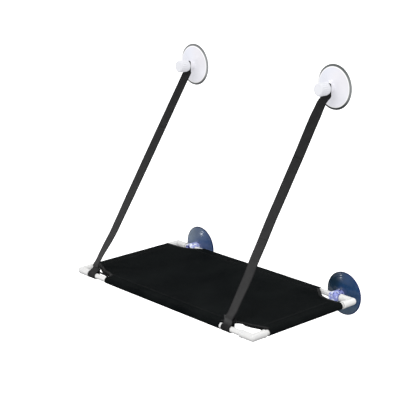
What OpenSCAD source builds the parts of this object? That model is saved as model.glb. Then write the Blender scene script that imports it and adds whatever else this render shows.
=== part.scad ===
// Window mounted cat perch: a fabric sling on a plastic tube frame.
// Two suction cups carry the rear rail, two more hold the straps of the front rail.
// X runs along the window, Y points at the glass (the glass face is Y = 0), Z is up.
// The origin lies on the glass, at the middle of the frame, level with the rear rail.

/* [Frame] */
// Distance between the axes of the two side rails
frame_w = 590; // [520:1:700]
// Distance between the axes of the front and rear rails
frame_d = 302; // [260:1:360]
// Outside diameter of the rail tubes
tube_d = 12.7; // [11:0.1:15]
// Wall thickness of the rail tubes
tube_wall = 1.8; // [1.2:0.1:2.6]
// Wall of an elbow around the tube that it holds
elbow_wall = 1.8; // [1.4:0.1:2.6]
// Length of an elbow leg, from the corner of the frame
elbow_leg = 34; // [30:0.5:40]
// How far a tube goes into an elbow
socket_depth = 20; // [14:0.5:22]

/* [Sling] */
// Thickness of the sling's cloth
cloth = 1.2; // [0.8:0.1:2]
// Width of a rail sleeve, from the rail axis to its seam
sleeve_w = 24; // [18:0.5:32]
// Bare front rail between a strap beside an elbow and the sling
front_reveal = 39; // [32:1:60]
// Bare rear rail between the left hub and the sling
rear_reveal = 20.5; // [4:0.5:50]
// Bare side rail between a front elbow and the sling
side_reveal_front = 15; // [6:1:36]
// Bare side rail between a rear elbow and the sling
side_reveal_rear = 5; // [2:1:26]
// Length of the square cut at the end of a sleeve
square_cut = 14; // [12:0.5:20]
// How far the edge of a cut front corner bows inwards
front_bow = 1; // [0.5:0.5:8]
// How far the edge of a cut rear corner bows inwards
rear_bow = 8; // [2:0.5:12]

/* [Suction cups] */
// Diameter of a cup on the glass
cup_d = 100; // [80:1:110]
// Height of a cup's back above the glass, at its neck
cup_rise = 9.5; // [8:0.1:11]
// Thickness of a cup's lip
cup_lip = 1.2; // [0.8:0.1:2]
// Width of the flat ring of a cup that lies on the glass
cup_seal = 7; // [4:0.5:10]
// Depth of the hollow behind a cup
cup_hollow = 3; // [2:0.1:3.6]
// Diameter of a cup's neck
cup_neck_d = 20; // [16:0.5:24]
// Diameter of the hub that holds the rear rail
hub_d = 26; // [22:0.5:27]
// Distance from the left hub to the elbow beside it
left_hub_gap = 9.5; // [0.5:0.5:40]
// Distance from the right hub to the elbow beside it
right_hub_gap = 0.5; // [0.5:0.5:40]
// Distance of the rear rail from the glass
rail_standoff = 26.3; // [24:0.1:32]
// Height of the upper cups above the lower ones
upper_cup_z = 461; // [400:1:520]

/* [Clamp] */
// Length of an upper cup, from the glass to the end of its neck
neck_end = 24; // [16:0.1:30]
// Diameter of the stud
stud_d = 8; // [6:0.5:10]
// Diameter of the stud's head, which is moulded into the cup
stud_head_d = 14; // [12:0.5:16]
// Diameter of the washer
washer_d = 27; // [22:0.5:30]
// Thickness of the washer
washer_t = 2.5; // [1.5:0.1:3.5]
// Diameter of the knob
knob_d = 29; // [26:0.5:34]
// Length of the knob
knob_len = 24; // [20:0.5:30]
// Number of grip flutes around the knob
knob_flutes = 18; // [12:1:24]
// How far the knob goes onto the stud
thread_len = 17; // [14:0.5:18]

/* [Straps] */
// Width of the webbing
strap_w = 26; // [20:1:30]
// Thickness of the webbing
strap_t = 1.5; // [1:0.1:2]
// Length of the strap tab below the stud
tab_drop = 16; // [16:0.5:20]
// Length of the strap tab above the stud
tab_rise = 12; // [9:0.5:14]
// Length of the rail loop, from the rail axis to the end of its seam
loop_len = 24; // [22:0.5:30]
// Length of the strap in the turn that it folds at
fold_len = 12; // [8:0.5:16]
// Distance from the left strap to the elbow beside it
left_gap = 1; // [0.5:0.5:20]
// Distance from the right strap to the sling's sleeve beside it
right_gap = 2; // [2:0.5:20]

/* [Hidden] */
$fn = 64;

// One overrun serves every cut
cut = 1;
// Radial clearance of a tube in its elbow
elbow_fit = 0.05;
// Radial clearance of the rear rail in the hubs, which it turns in
hub_fit = 0.1;
// Clearance of cloth and webbing around a rail
soft_gap = 0.35;
// Clearance between the flat faces of the clamp stack
stack_gap = 0.2;
// Radial clearance of the knob's thread on the stud
thread_fit = 0.08;
// Clearance of the washer and of the strap's hole around the stud
hole_gap = 0.5;
// Half of the gap at a place where the webbing folds
fold_gap = 0.25;

tube_r = tube_d / 2;
elbow_r = tube_r + elbow_fit + elbow_wall;
front_y = -rail_standoff - frame_d;
rear_y = -rail_standoff;
side_x = frame_w / 2;

// Where the cups and straps sit along the rails, from the middle of the perch
lower_left_x = side_x - elbow_leg - left_hub_gap - hub_d / 2;
lower_right_x = side_x - elbow_leg - right_hub_gap - hub_d / 2;
left_strap_x = side_x - elbow_leg - left_gap - strap_w / 2;
front_bare = elbow_leg + left_gap + strap_w + front_reveal;
rear_bare = elbow_leg + left_hub_gap + hub_d + rear_reveal;
right_strap_x = side_x - front_bare + right_gap + strap_w / 2;

// Cup hub: its back and front faces, its rounded edge and its bore
hub_end_wall = 8;
hub_back = rail_standoff - hub_d / 2;
hub_front = rail_standoff + tube_r + hub_end_wall;
hub_edge = 3;
hub_inner_r = tube_r + hub_fit;

// Where the clamp stack's faces lie, measured from the glass
tab_at = neck_end + stack_gap;
washer_at = tab_at + strap_t + stack_gap;
knob_at = washer_at + washer_t + stack_gap;
stud_head_at = cup_hollow + cup_lip;
stud_head_t = 2.4;
stud_end = knob_at + thread_len;
knob_edge = 3.5;
flute_d = 3.2;
flute_depth = 0.9;
flute_margin = 3;

// The strap runs straight from the foot of its tab to the axis of the front rail
strap_plane = tab_at + strap_t / 2;
strap_top_z = upper_cup_z - tab_drop;
strap_run_y = -strap_plane - front_y;
strap_len = norm([strap_run_y, strap_top_z]);
strap_lean = atan2(strap_run_y, strap_top_z);
// Share of the strap above the place where it folds double
upper_part_share = 0.617;
upper_len = strap_len * upper_part_share;
lower_from = upper_len + fold_len;
lower_len = strap_len - loop_len - lower_from;
tab_corner_r = 4;

// Rail loop: the webbing goes round the rail and its two plies meet above it
loop_inner_r = tube_r + soft_gap;
loop_outer_r = loop_inner_r + strap_t;
loop_meet = 16;

// Sling: the cloth lies over the rails, goes round them and is sewn to itself
sleeve_inner_r = tube_r + soft_gap;
sleeve_outer_r = sleeve_inner_r + cloth;

plastic_white = "white";
cloth_black = [0.09, 0.1, 0.1];
strap_grey = [0.2, 0.2, 0.21];
cup_blue = [0.2, 0.3, 0.55];
cup_pearl = [0.93, 0.93, 0.96];

// A round bar along X or Y, from one place to another
module bar_x(r, from, to) {
    translate([from, 0, 0])
        rotate([0, 90, 0])
            cylinder(r = r, h = to - from);
}

module bar_y(r, from, to) {
    translate([0, from, 0])
        rotate([-90, 0, 0])
            cylinder(r = r, h = to - from);
}

// Turns a shape drawn from the glass upwards so that it stands out into the room
module off_glass(x, z) {
    translate([x, 0, z])
        rotate([90, 0, 0])
            children();
}

// Rails and elbows

module tube(len) {
    translate([-len / 2, 0, 0])
        difference() {
            bar_x(tube_r, 0, len);
            bar_x(tube_r - tube_wall, -cut, len + cut);
        }
}

// Length of a rail whose axis is span long between the frame's corners
function rail_len(span) = span - 2 * (elbow_leg - socket_depth);

module cross_rail(y) {
    color(plastic_white)
        translate([0, y, 0])
            tube(rail_len(frame_w));
}

module side_rail(x) {
    color(plastic_white)
        translate([x, (front_y + rear_y) / 2, 0])
            rotate([0, 0, 90])
                tube(rail_len(frame_d));
}

// An elbow with its legs along +X and +Y
module elbow() {
    difference() {
        union() {
            sphere(r = elbow_r);
            bar_x(elbow_r, 0, elbow_leg);
            bar_y(elbow_r, 0, elbow_leg);
        }
        sphere(r = tube_r - tube_wall);
        bar_x(tube_r - tube_wall, 0, elbow_leg);
        bar_y(tube_r - tube_wall, 0, elbow_leg);
        bar_x(tube_r + elbow_fit, elbow_leg - socket_depth, elbow_leg + cut);
        bar_y(tube_r + elbow_fit, elbow_leg - socket_depth, elbow_leg + cut);
    }
}

// side is -1 on the left, and end is -1 at the front
module corner_elbow(side, end) {
    color(plastic_white)
        translate([side * side_x, end < 0 ? front_y : rear_y, 0])
            mirror([side > 0 ? 1 : 0, 0, 0])
                mirror([0, end > 0 ? 1 : 0, 0])
                    elbow();
}

// Sling

// The outer faces of both plies pass a little inside the ring of cloth round the rail
sleeve_tuck = 8;
ply_r = sleeve_outer_r * cos(sleeve_tuck);
sheet_z = ply_r - cloth;
// Direction from the rail's axis to where the lower ply leaves the rail
sleeve_leave = atan2(ply_r - 2 * cloth, sleeve_w)
    - acos(ply_r / norm([sleeve_w, ply_r - 2 * cloth]));

// Lays a shape that is drawn round Z along a rail on X, centred, with the panel towards +Y
module along_rail(len) {
    translate([-len / 2, 0, 0])
        rotate([90, 0, 90])
            children();
}

// The cloth round a rail and its lower ply, up to the seam
module sleeve(len) {
    along_rail(len) {
        cylinder(r = sleeve_outer_r, h = len);
        linear_extrude(len)
            polygon([[0, sheet_z + cloth / 2], [0, 0],
                [ply_r * cos(sleeve_leave), ply_r * sin(sleeve_leave)],
                [sleeve_w, sheet_z - cloth], [sleeve_w, sheet_z + cloth / 2]]);
    }
}

// The space inside a sleeve
module sleeve_bore(len) {
    tip = sheet_z * (1 - sin(sleeve_leave)) / cos(sleeve_leave);
    along_rail(len) {
        cylinder(r = sleeve_inner_r, h = len);
        linear_extrude(len)
            polygon([[0, sheet_z], [0, 0],
                [sheet_z * cos(sleeve_leave), sheet_z * sin(sleeve_leave)], [tip, sheet_z]]);
    }
}

// Puts children(0) at the two cross rails and children(1) at the two side rails
module at_rails() {
    translate([0, front_y, 0])
        children(0);
    translate([0, rear_y, 0])
        rotate([0, 0, 180])
            children(0);
    for (side = [-1, 1])
        translate([side * side_x, (front_y + rear_y) / 2, 0])
            rotate([0, 0, side * 90])
                children(1);
}

// Points of an edge from p to q that bows by h to the left of its direction
bow_steps = 8;
function bowed(p, q, h) = [for (i = [0 : bow_steps])
    let (s = i / bow_steps, d = q - p, side = [-d[1], d[0]] / norm(d))
        p + s * d + 4 * s * (1 - s) * h * side];

// The cut at a corner, with the corner at the origin and the sling in +X, +Y
module corner_cut(bare_x, bare_y, bow) {
    out = 2 * sleeve_outer_r;
    translate([0, 0, -out])
        linear_extrude(2 * out)
            polygon(concat([[-out, -out], [bare_x, -out]],
                bowed([bare_x, square_cut], [0, bare_y], -bow),
                [[-out, bare_y]]));
}

module sling() {
    cross_len = frame_w - 2 * elbow_leg;
    side_len = frame_d - 2 * elbow_leg;
    color(cloth_black)
        difference() {
            union() {
                translate([-side_x, front_y, sheet_z])
                    cube([frame_w, frame_d, cloth]);
                at_rails() {
                    sleeve(cross_len);
                    sleeve(side_len);
                }
            }
            at_rails() {
                sleeve_bore(cross_len + 2 * cut);
                sleeve_bore(side_len + 2 * cut);
            }
            for (side = [-1, 1]) {
                translate([side * side_x, front_y, 0])
                    mirror([side > 0 ? 1 : 0, 0, 0])
                        corner_cut(front_bare, elbow_leg + side_reveal_front, front_bow);
                translate([side * side_x, rear_y, 0])
                    mirror([side > 0 ? 1 : 0, 0, 0])
                        mirror([0, 1, 0])
                            corner_cut(rear_bare, elbow_leg + side_reveal_rear, rear_bow);
            }
        }
}

// Suction cups

// Height of a cup's back at radius r, from the neck out to the lip
cup_steps = 12;
function back_height(r) = let (s = (cup_d / 2 - r) / (cup_d / 2 - cup_neck_d / 2))
    cup_lip + (cup_rise - cup_lip) * (1 - pow(1 - s, 1.6));

// The disc of a cup, with the glass at height zero and the hollow open to it
module cup_disc() {
    r = cup_d / 2;
    neck = cup_neck_d / 2;
    back = [for (i = [0 : cup_steps])
        let (x = r - (r - neck) * i / cup_steps) [x, back_height(x)]];
    hollow = [for (i = [0 : cup_steps])
        let (s = i / cup_steps) [(r - cup_seal) * s, cup_hollow * (1 - s * s)]];
    rotate_extrude(convexity = 4)
        polygon(concat([[r, 0]], back, [[0, cup_rise]], hollow));
}

// A cup whose hub the rear rail goes through
module lower_cup(x) {
    color(cup_blue)
        difference() {
            off_glass(x, 0) {
                cup_disc();
                cylinder(d = cup_neck_d, h = hub_front - hub_edge);
                rotate_extrude()
                    polygon([[0, hub_back], [hub_d / 2 - hub_edge / 2, hub_back],
                        [hub_d / 2, hub_back + hub_edge / 2], [hub_d / 2, hub_front - hub_edge],
                        [hub_d / 2 - hub_edge / 3, hub_front - hub_edge / 3],
                        [hub_d / 2 - hub_edge, hub_front], [0, hub_front]]);
            }
            translate([x, rear_y, 0])
                bar_x(hub_inner_r, -hub_d, hub_d);
            off_glass(x, 0)
                cup_hollow_shape();
        }
}

// The hollow of a cup as a solid, to keep a neck from filling it
module cup_hollow_shape() {
    r = cup_d / 2 - cup_seal;
    rotate_extrude()
        polygon(concat([[0, -cut], [r, -cut]],
            [for (i = [0 : cup_steps])
                let (s = 1 - i / cup_steps) [r * s, cup_hollow * (1 - s * s)]]));
}

// A cup with the stud's head moulded into it
module upper_cup(x) {
    color(cup_pearl)
        off_glass(x, upper_cup_z)
            difference() {
                union() {
                    cup_disc();
                    cylinder(d = cup_neck_d, h = neck_end);
                }
                cup_hollow_shape();
                translate([0, 0, stud_head_at])
                    cylinder(d = stud_head_d, h = stud_head_t);
                translate([0, 0, stud_head_at])
                    cylinder(d = stud_d, h = neck_end);
            }
}

// Clamp

module stud(x) {
    color(plastic_white)
        off_glass(x, upper_cup_z) {
            translate([0, 0, stud_head_at])
                cylinder(d = stud_head_d, h = stud_head_t);
            translate([0, 0, stud_head_at])
                cylinder(d = stud_d, h = stud_end - stud_head_at);
        }
}

module washer(x) {
    color(plastic_white)
        off_glass(x, upper_cup_z)
            translate([0, 0, washer_at])
                difference() {
                    cylinder(d = washer_d, h = washer_t);
                    translate([0, 0, -cut])
                        cylinder(r = stud_d / 2 + hole_gap, h = washer_t + 2 * cut);
                }
}

module knob(x) {
    r = knob_d / 2;
    color(plastic_white)
        off_glass(x, upper_cup_z)
            translate([0, 0, knob_at])
                difference() {
                    rotate_extrude()
                        polygon([[0, 0], [r - knob_edge / 3, 0], [r, knob_edge / 3],
                            [r, knob_len - knob_edge],
                            [r - knob_edge / 3, knob_len - knob_edge / 3],
                            [r - knob_edge, knob_len], [0, knob_len]]);
                    translate([0, 0, -cut])
                        cylinder(r = stud_d / 2 + thread_fit, h = thread_len + 2 * cut);
                    for (i = [0 : knob_flutes - 1])
                        rotate([0, 0, 360 * i / knob_flutes])
                            translate([r + flute_d / 2 - flute_depth, 0, flute_margin])
                                cylinder(d = flute_d, h = knob_len, $fn = 24);
                }
}

// Straps

// The flat end of a strap, clamped between the neck and the washer
module strap_tab(x) {
    tab_h = tab_drop + tab_rise - fold_gap;
    color(strap_grey)
        off_glass(x, upper_cup_z)
            translate([0, 0, tab_at])
                difference() {
                    union() {
                        translate([-strap_w / 2, fold_gap - tab_drop, 0])
                            cube([strap_w, tab_h - tab_corner_r, strap_t]);
                        translate([tab_corner_r - strap_w / 2, fold_gap - tab_drop, 0])
                            cube([strap_w - 2 * tab_corner_r, tab_h, strap_t]);
                        for (side = [-1, 1])
                            translate([side * (strap_w / 2 - tab_corner_r),
                                tab_rise - tab_corner_r, 0])
                                cylinder(r = tab_corner_r, h = strap_t);
                    }
                    translate([0, 0, -cut])
                        cylinder(r = stud_d / 2 + hole_gap, h = strap_t + 2 * cut);
                }
}

// Places a length of strap so that it hangs along -Z from a point of the run
module on_strap(x, from_top) {
    translate([x, -strap_plane, strap_top_z])
        rotate([-strap_lean, 0, 0])
            translate([0, 0, -from_top])
                children();
}

// A length of webbing along -Z, with round ends so that it can fold at both
module webbing(len) {
    flat = len - 2 * fold_gap - strap_t;
    translate([-strap_w / 2, -strap_t / 2, -flat - fold_gap - strap_t / 2])
        cube([strap_w, strap_t, flat]);
    for (at = [fold_gap + strap_t / 2, len - fold_gap - strap_t / 2])
        translate([0, 0, -at])
            bar_x(strap_t / 2, -strap_w / 2, strap_w / 2);
}

module strap_part(x, from_top, len) {
    color(strap_grey)
        on_strap(x, from_top)
            webbing(len);
}

// Where a ply leaves the rail: its outer line passes a little inside the ring
loop_tuck = 8;
leave_r = loop_outer_r * cos(loop_tuck);
loop_leave = atan2(strap_t, loop_meet) + acos(leave_r / norm([loop_meet, strap_t]));

// A wedge along Z whose sides leave the rail at radius r and meet the given outline
module loop_wedge(r, len, outline) {
    leave = [cos(loop_leave), sin(loop_leave)];
    linear_extrude(len)
        polygon(concat([[0, 0], r * leave], outline, [[r * leave[0], -r * leave[1]]]));
}

// The rail loop with the rail's axis on Z and the strap towards +X
module loop_form() {
    inner_r = leave_r - strap_t;
    end = loop_len - fold_gap;
    difference() {
        union() {
            cylinder(r = loop_outer_r, h = strap_w);
            loop_wedge(leave_r, strap_w, [[loop_meet, strap_t], [end, strap_t],
                [end, -strap_t], [loop_meet, -strap_t]]);
        }
        translate([0, 0, -cut]) {
            cylinder(r = loop_inner_r, h = strap_w + 2 * cut);
            loop_wedge(inner_r, strap_w + 2 * cut, [[inner_r / cos(loop_leave), 0]]);
        }
    }
}

module rail_loop(x) {
    color(strap_grey)
        translate([x - strap_w / 2, front_y, 0])
            rotate([90 - strap_lean, 0, 0])
                rotate([90, 0, 90])
                    loop_form();
}

cross_rail(front_y);  // front_rail
cross_rail(rear_y);  // rear_rail
side_rail(-side_x);  // left_side_rail
side_rail(side_x);  // right_side_rail
corner_elbow(-1, -1);  // front_left_elbow
corner_elbow(1, -1);  // front_right_elbow
corner_elbow(-1, 1);  // rear_left_elbow
corner_elbow(1, 1);  // rear_right_elbow
sling();
lower_cup(-lower_left_x);  // lower_left_cup
lower_cup(lower_right_x);  // lower_right_cup
upper_cup(-left_strap_x);  // upper_left_cup
upper_cup(right_strap_x);  // upper_right_cup
stud(-left_strap_x);  // left_stud
stud(right_strap_x);  // right_stud
washer(-left_strap_x);  // left_washer
washer(right_strap_x);  // right_washer
knob(-left_strap_x);  // left_knob
knob(right_strap_x);  // right_knob
strap_tab(-left_strap_x);  // left_strap_tab
strap_tab(right_strap_x);  // right_strap_tab
strap_part(-left_strap_x, 0, upper_len);  // left_strap_upper
strap_part(right_strap_x, 0, upper_len);  // right_strap_upper
strap_part(-left_strap_x, upper_len, fold_len);  // left_strap_fold
strap_part(right_strap_x, upper_len, fold_len);  // right_strap_fold
strap_part(-left_strap_x, lower_from, lower_len);  // left_strap_lower
strap_part(right_strap_x, lower_from, lower_len);  // right_strap_lower
rail_loop(-left_strap_x);  // left_rail_loop
rail_loop(right_strap_x);  // right_rail_loop
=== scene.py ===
"""Looks of the window mounted cat perch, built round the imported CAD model.

Sizes in the classes are in millimetres, as in the part's source, and become metres where
a mesh is made. X runs along the window, Y points at the glass and Z is up.
"""

from __future__ import annotations

import logging
import math
from dataclasses import dataclass, replace
from enum import Enum
from typing import Callable, Iterable, Sequence

import bmesh
import bpy
from mathutils import Matrix, Vector, noise
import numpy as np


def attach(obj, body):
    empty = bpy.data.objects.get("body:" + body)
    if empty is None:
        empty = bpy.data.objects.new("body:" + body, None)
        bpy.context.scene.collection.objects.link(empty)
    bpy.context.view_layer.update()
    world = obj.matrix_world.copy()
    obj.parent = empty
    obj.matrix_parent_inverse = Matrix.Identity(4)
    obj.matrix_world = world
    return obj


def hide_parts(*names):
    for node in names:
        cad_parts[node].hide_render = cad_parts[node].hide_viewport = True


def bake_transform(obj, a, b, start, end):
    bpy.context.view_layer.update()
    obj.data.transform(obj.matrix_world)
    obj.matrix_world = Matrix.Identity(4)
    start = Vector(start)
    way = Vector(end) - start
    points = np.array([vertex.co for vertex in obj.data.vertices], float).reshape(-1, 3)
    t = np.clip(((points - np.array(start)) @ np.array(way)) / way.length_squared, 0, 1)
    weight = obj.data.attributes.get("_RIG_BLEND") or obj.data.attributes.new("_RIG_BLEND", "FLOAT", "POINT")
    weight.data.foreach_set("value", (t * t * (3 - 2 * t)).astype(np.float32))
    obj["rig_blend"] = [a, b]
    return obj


MM = 0.001
LOG = logging.getLogger("perch")
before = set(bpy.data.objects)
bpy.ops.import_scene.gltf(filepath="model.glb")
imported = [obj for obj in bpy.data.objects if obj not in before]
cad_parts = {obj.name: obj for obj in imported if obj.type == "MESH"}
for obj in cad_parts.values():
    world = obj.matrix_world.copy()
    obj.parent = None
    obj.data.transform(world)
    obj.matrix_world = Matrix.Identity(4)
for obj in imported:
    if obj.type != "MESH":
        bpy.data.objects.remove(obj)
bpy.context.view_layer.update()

Point = Vector
Pair = tuple[float, float]


def ease(t: float) -> float:
    """Smooth step from 0 to 1 as t goes from 0 to 1."""
    t = min(1.0, max(0.0, t))
    return t * t * (3 - 2 * t)


def between(a: float, b: float, t: float) -> float:
    """The value at share t of the way from a to b."""
    return a + (b - a) * t


def turns(steps: int) -> list[float]:
    """Angles of even steps once round a circle."""
    return [2 * math.pi * k / steps for k in range(steps)]


def smooth_line(points: Sequence[tuple[float, ...]],
                steps: int) -> list[tuple[float, ...]]:
    """Draws a smooth line through points in a plane or in space.

    Args:
        points: The points to pass, in order.
        steps: Number of steps between two points.

    Returns:
        The points of the smooth line, ends included.
    """
    line: list[tuple[float, ...]] = []
    last = len(points) - 1
    for i in range(last):
        a, b = points[max(0, i - 1)], points[i]
        c, d = points[i + 1], points[min(last, i + 2)]
        for k in range(steps):
            t = k / steps
            line.append(tuple(
                0.5 * (2 * b[n] + (c[n] - a[n]) * t
                       + (2 * a[n] - 5 * b[n] + 4 * c[n] - d[n]) * t * t
                       + (3 * b[n] - a[n] - 3 * c[n] + d[n]) * t ** 3) for n in range(len(b))))
    line.append(tuple(map(float, points[last])))
    return line


def along_keys(keys: Sequence[Pair], at: float) -> float:
    """Reads a smooth curve through a few keys.

    Args:
        keys: Places and values, in order of place.
        at: The place to read the curve at.

    Returns:
        The value there, held beyond both ends.
    """
    if at <= keys[0][0]:
        return keys[0][1]
    for (x0, v0), (x1, v1) in zip(keys, keys[1:]):
        if at <= x1:
            return between(v0, v1, ease((at - x0) / (x1 - x0)))
    return keys[-1][1]


class Side(Enum):
    """The two sides of the perch, as seen from the room."""

    LEFT = "left"
    RIGHT = "right"

    @property
    def sign(self) -> int:
        """Minus one on the left and one on the right."""
        return -1 if self is Side.LEFT else 1


class End(Enum):
    """The front of the perch, and the rear at the glass."""

    FRONT = "front"
    REAR = "rear"


@dataclass(frozen=True)
class Plan:
    """Where the main parts lie, in the words of the part's source."""

    frame_w: float = 590.0
    frame_d: float = 302.0
    rail_standoff: float = 26.3
    tube_r: float = 6.35
    elbow_r: float = 8.2
    elbow_leg: float = 34.0
    cloth: float = 1.2
    sleeve_w: float = 24.0
    sleeve_r: float = 7.9
    sheet_top: float = 7.823
    front_bare: float = 100.0
    rear_bare: float = 90.0
    side_bare_front: float = 49.0
    side_bare_rear: float = 39.0
    upper_cup_z: float = 461.0
    lower_cup_x: tuple[float, float] = (-238.5, 247.5)
    strap_x: tuple[float, float] = (-247.0, 210.0)
    neck_end: float = 24.0
    stack_gap: float = 0.2
    strap_w: float = 26.0
    strap_t: float = 1.5
    tab_drop: float = 16.0
    tab_rise: float = 12.0
    loop_len: float = 24.0
    fold_len: float = 12.0
    upper_part_share: float = 0.617

    @property
    def side_x(self) -> float:
        """Distance of a side rail from the middle."""
        return self.frame_w / 2

    @property
    def rear_y(self) -> float:
        """Place of the rear rail."""
        return -self.rail_standoff

    @property
    def front_y(self) -> float:
        """Place of the front rail."""
        return -self.rail_standoff - self.frame_d

    @property
    def middle_y(self) -> float:
        """Half way between the front and the rear rail."""
        return (self.front_y + self.rear_y) / 2

    def rail(self, end: End) -> tuple[float, int]:
        """Place of the rail at an end, and the direction from it to the middle."""
        return (self.front_y, 1) if end is End.FRONT else (self.rear_y, -1)

    @property
    def strap_plane(self) -> float:
        """Distance of the strap tab's middle from the glass."""
        return self.neck_end + self.stack_gap + self.strap_t / 2

    @property
    def strap_top(self) -> Point:
        """Where the sloping run of a strap starts, at X zero."""
        return Vector((0, -self.strap_plane, self.upper_cup_z - self.tab_drop))

    @property
    def strap_down(self) -> Point:
        """Direction of a strap from its top to the front rail."""
        return (Vector((0, self.front_y, 0)) - self.strap_top).normalized()

    @property
    def strap_face(self) -> Point:
        """Direction that the front of a strap faces."""
        return self.strap_down.cross(Vector((1, 0, 0))).normalized()

    @property
    def strap_len(self) -> float:
        """Length from the top of the run to the axis of the front rail."""
        return (Vector((0, self.front_y, 0)) - self.strap_top).length


PLAN = Plan()


class Draft:
    """A mesh being drawn in millimetres, with flat coordinates in metres for its weave."""

    def __init__(self) -> None:
        """Starts an empty mesh."""
        self.mesh = bmesh.new()
        self.flat = self.mesh.loops.layers.uv.new("flat")
        self.where: dict[bmesh.types.BMVert, Pair] = {}

    def vert(self, at: Sequence[float], uv: Pair = (0.0, 0.0)) -> bmesh.types.BMVert:
        """Adds a vertex.

        Args:
            at: Its place in millimetres.
            uv: Its place on the flat piece, in millimetres.

        Returns:
            The new vertex.
        """
        v = self.mesh.verts.new(Vector(at) * MM)
        self.where[v] = (uv[0] * MM, uv[1] * MM)
        return v

    def face(self, verts: Sequence[bmesh.types.BMVert]) -> None:
        """Adds a face and gives its corners their flat places.

        Args:
            verts: Its corners in order. Fewer than three different ones make no face.
        """
        if len(set(verts)) < 3:
            return
        f = self.mesh.faces.new(list(dict.fromkeys(verts)))
        f.smooth = True
        for loop in f.loops:
            loop[self.flat].uv = self.where[loop.vert]

    def bridge(self, rows: Sequence[Sequence[bmesh.types.BMVert]], closed: bool = False) -> None:
        """Joins rows of vertices with quads.

        Args:
            rows: Rows with the same number of vertices.
            closed: Whether each row runs back to its start.
        """
        for a, b in zip(rows, rows[1:]):
            count = len(a) if closed else len(a) - 1
            for i in range(count):
                j = (i + 1) % len(a)
                self.face((a[i], a[j], b[j], b[i]))

    def tube(self, rows: Sequence[Sequence[bmesh.types.BMVert]]) -> None:
        """Joins closed rows with quads and closes both ends.

        Args:
            rows: Closed rows with the same number of vertices.
        """
        self.bridge(rows, closed=True)
        self.face(rows[0])
        self.face(rows[-1])

    def build(self, name: str, finish: Finish, weld: float = 0.0) -> bpy.types.Object:
        """Makes the object of this mesh.

        Args:
            name: The piece's name.
            finish: What it is made of.
            weld: Distance in millimetres under which vertices are joined, or zero.

        Returns:
            The new object, linked to the scene.
        """
        if weld:
            bmesh.ops.remove_doubles(self.mesh, verts=self.mesh.verts[:], dist=weld * MM)
        bmesh.ops.recalc_face_normals(self.mesh, faces=self.mesh.faces[:])
        data = bpy.data.meshes.new(name)
        self.mesh.to_mesh(data)
        self.mesh.free()
        piece = bpy.data.objects.new(name, data)
        bpy.context.scene.collection.objects.link(piece)
        data.materials.append(finish.material())
        return piece


def apply_modifiers(piece: bpy.types.Object) -> None:
    """Turns a piece's modifiers into plain mesh.

    Args:
        piece: The piece to change.
    """
    graph = bpy.context.evaluated_depsgraph_get()
    done = bpy.data.meshes.new_from_object(piece.evaluated_get(graph))
    piece.modifiers.clear()
    piece.data = done


# Shader node groups


class Sockets:
    """Short ways to add and join nodes in one tree."""

    def __init__(self, tree: bpy.types.NodeTree) -> None:
        """Keeps the tree."""
        self.tree = tree

    def node(self, kind: str, **settings: object) -> bpy.types.Node:
        """Adds a node and sets its options.

        Args:
            kind: The node's type.
            settings: Its options by name.

        Returns:
            The node.
        """
        made = self.tree.nodes.new(kind)
        for key, value in settings.items():
            setattr(made, key, value)
        return made

    def join(self, source: bpy.types.NodeSocket, target: bpy.types.NodeSocket) -> None:
        """Links two sockets."""
        self.tree.links.new(source, target)

    def math(self, kind: str, *inputs: object) -> bpy.types.NodeSocket:
        """Adds a Math node.

        Args:
            kind: The operation.
            inputs: Numbers or sockets, in order.

        Returns:
            The output socket.
        """
        made = self.node("ShaderNodeMath", operation=kind)
        for i, value in enumerate(inputs):
            self.feed(made.inputs[i], value)
        return made.outputs[0]

    def feed(self, target: bpy.types.NodeSocket, value: object) -> None:
        """Sets a socket to a number or colour, or links it to another socket.

        Args:
            target: The socket to set.
            value: The number, colour or socket.
        """
        if isinstance(value, bpy.types.NodeSocket):
            self.join(value, target)
        else:
            target.default_value = value

    def mix(self, share: object, low: object, high: object) -> bpy.types.NodeSocket:
        """Mixes two colours by a share.

        Args:
            share: Share of the second colour.
            low: The colour at share 0.
            high: The colour at share 1.

        Returns:
            The mixed colour's socket.
        """
        made = self.node("ShaderNodeMix", data_type="RGBA")
        self.feed(made.inputs["Factor"], share)
        colours = [s for s in made.inputs if s.type == "RGBA"]
        self.feed(colours[0], low)
        self.feed(colours[1], high)
        return next(s for s in made.outputs if s.type == "RGBA")

    def ramp(self, value: object, low: float, high: float, to_low: float = 0.0,
             to_high: float = 1.0) -> bpy.types.NodeSocket:
        """Maps a value smoothly from one range to another.

        Args:
            value: The number or socket.
            low: Start of the range read.
            high: End of the range read.
            to_low: Result at the start.
            to_high: Result at the end.

        Returns:
            The mapped value's socket.
        """
        made = self.node("ShaderNodeMapRange", interpolation_type="SMOOTHSTEP")
        for key, number in (("Value", value), ("From Min", low), ("From Max", high),
                            ("To Min", to_low), ("To Max", to_high)):
            self.feed(made.inputs[key], number)
        return made.outputs["Result"]

    def noise(self, vector: object, scale: object, detail: float = 4.0,
              rough: float = 0.55) -> bpy.types.NodeSocket:
        """Adds a noise texture.

        Args:
            vector: The place where it is read.
            scale: How many of its largest features there are in a metre.
            detail: Number of finer layers.
            rough: Strength of each finer layer.

        Returns:
            The value's socket.
        """
        made = self.node("ShaderNodeTexNoise")
        self.feed(made.inputs["Vector"], vector)
        self.feed(made.inputs["Scale"], scale)
        made.inputs["Detail"].default_value = detail
        made.inputs["Roughness"].default_value = rough
        return made.outputs["Fac"]


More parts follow.
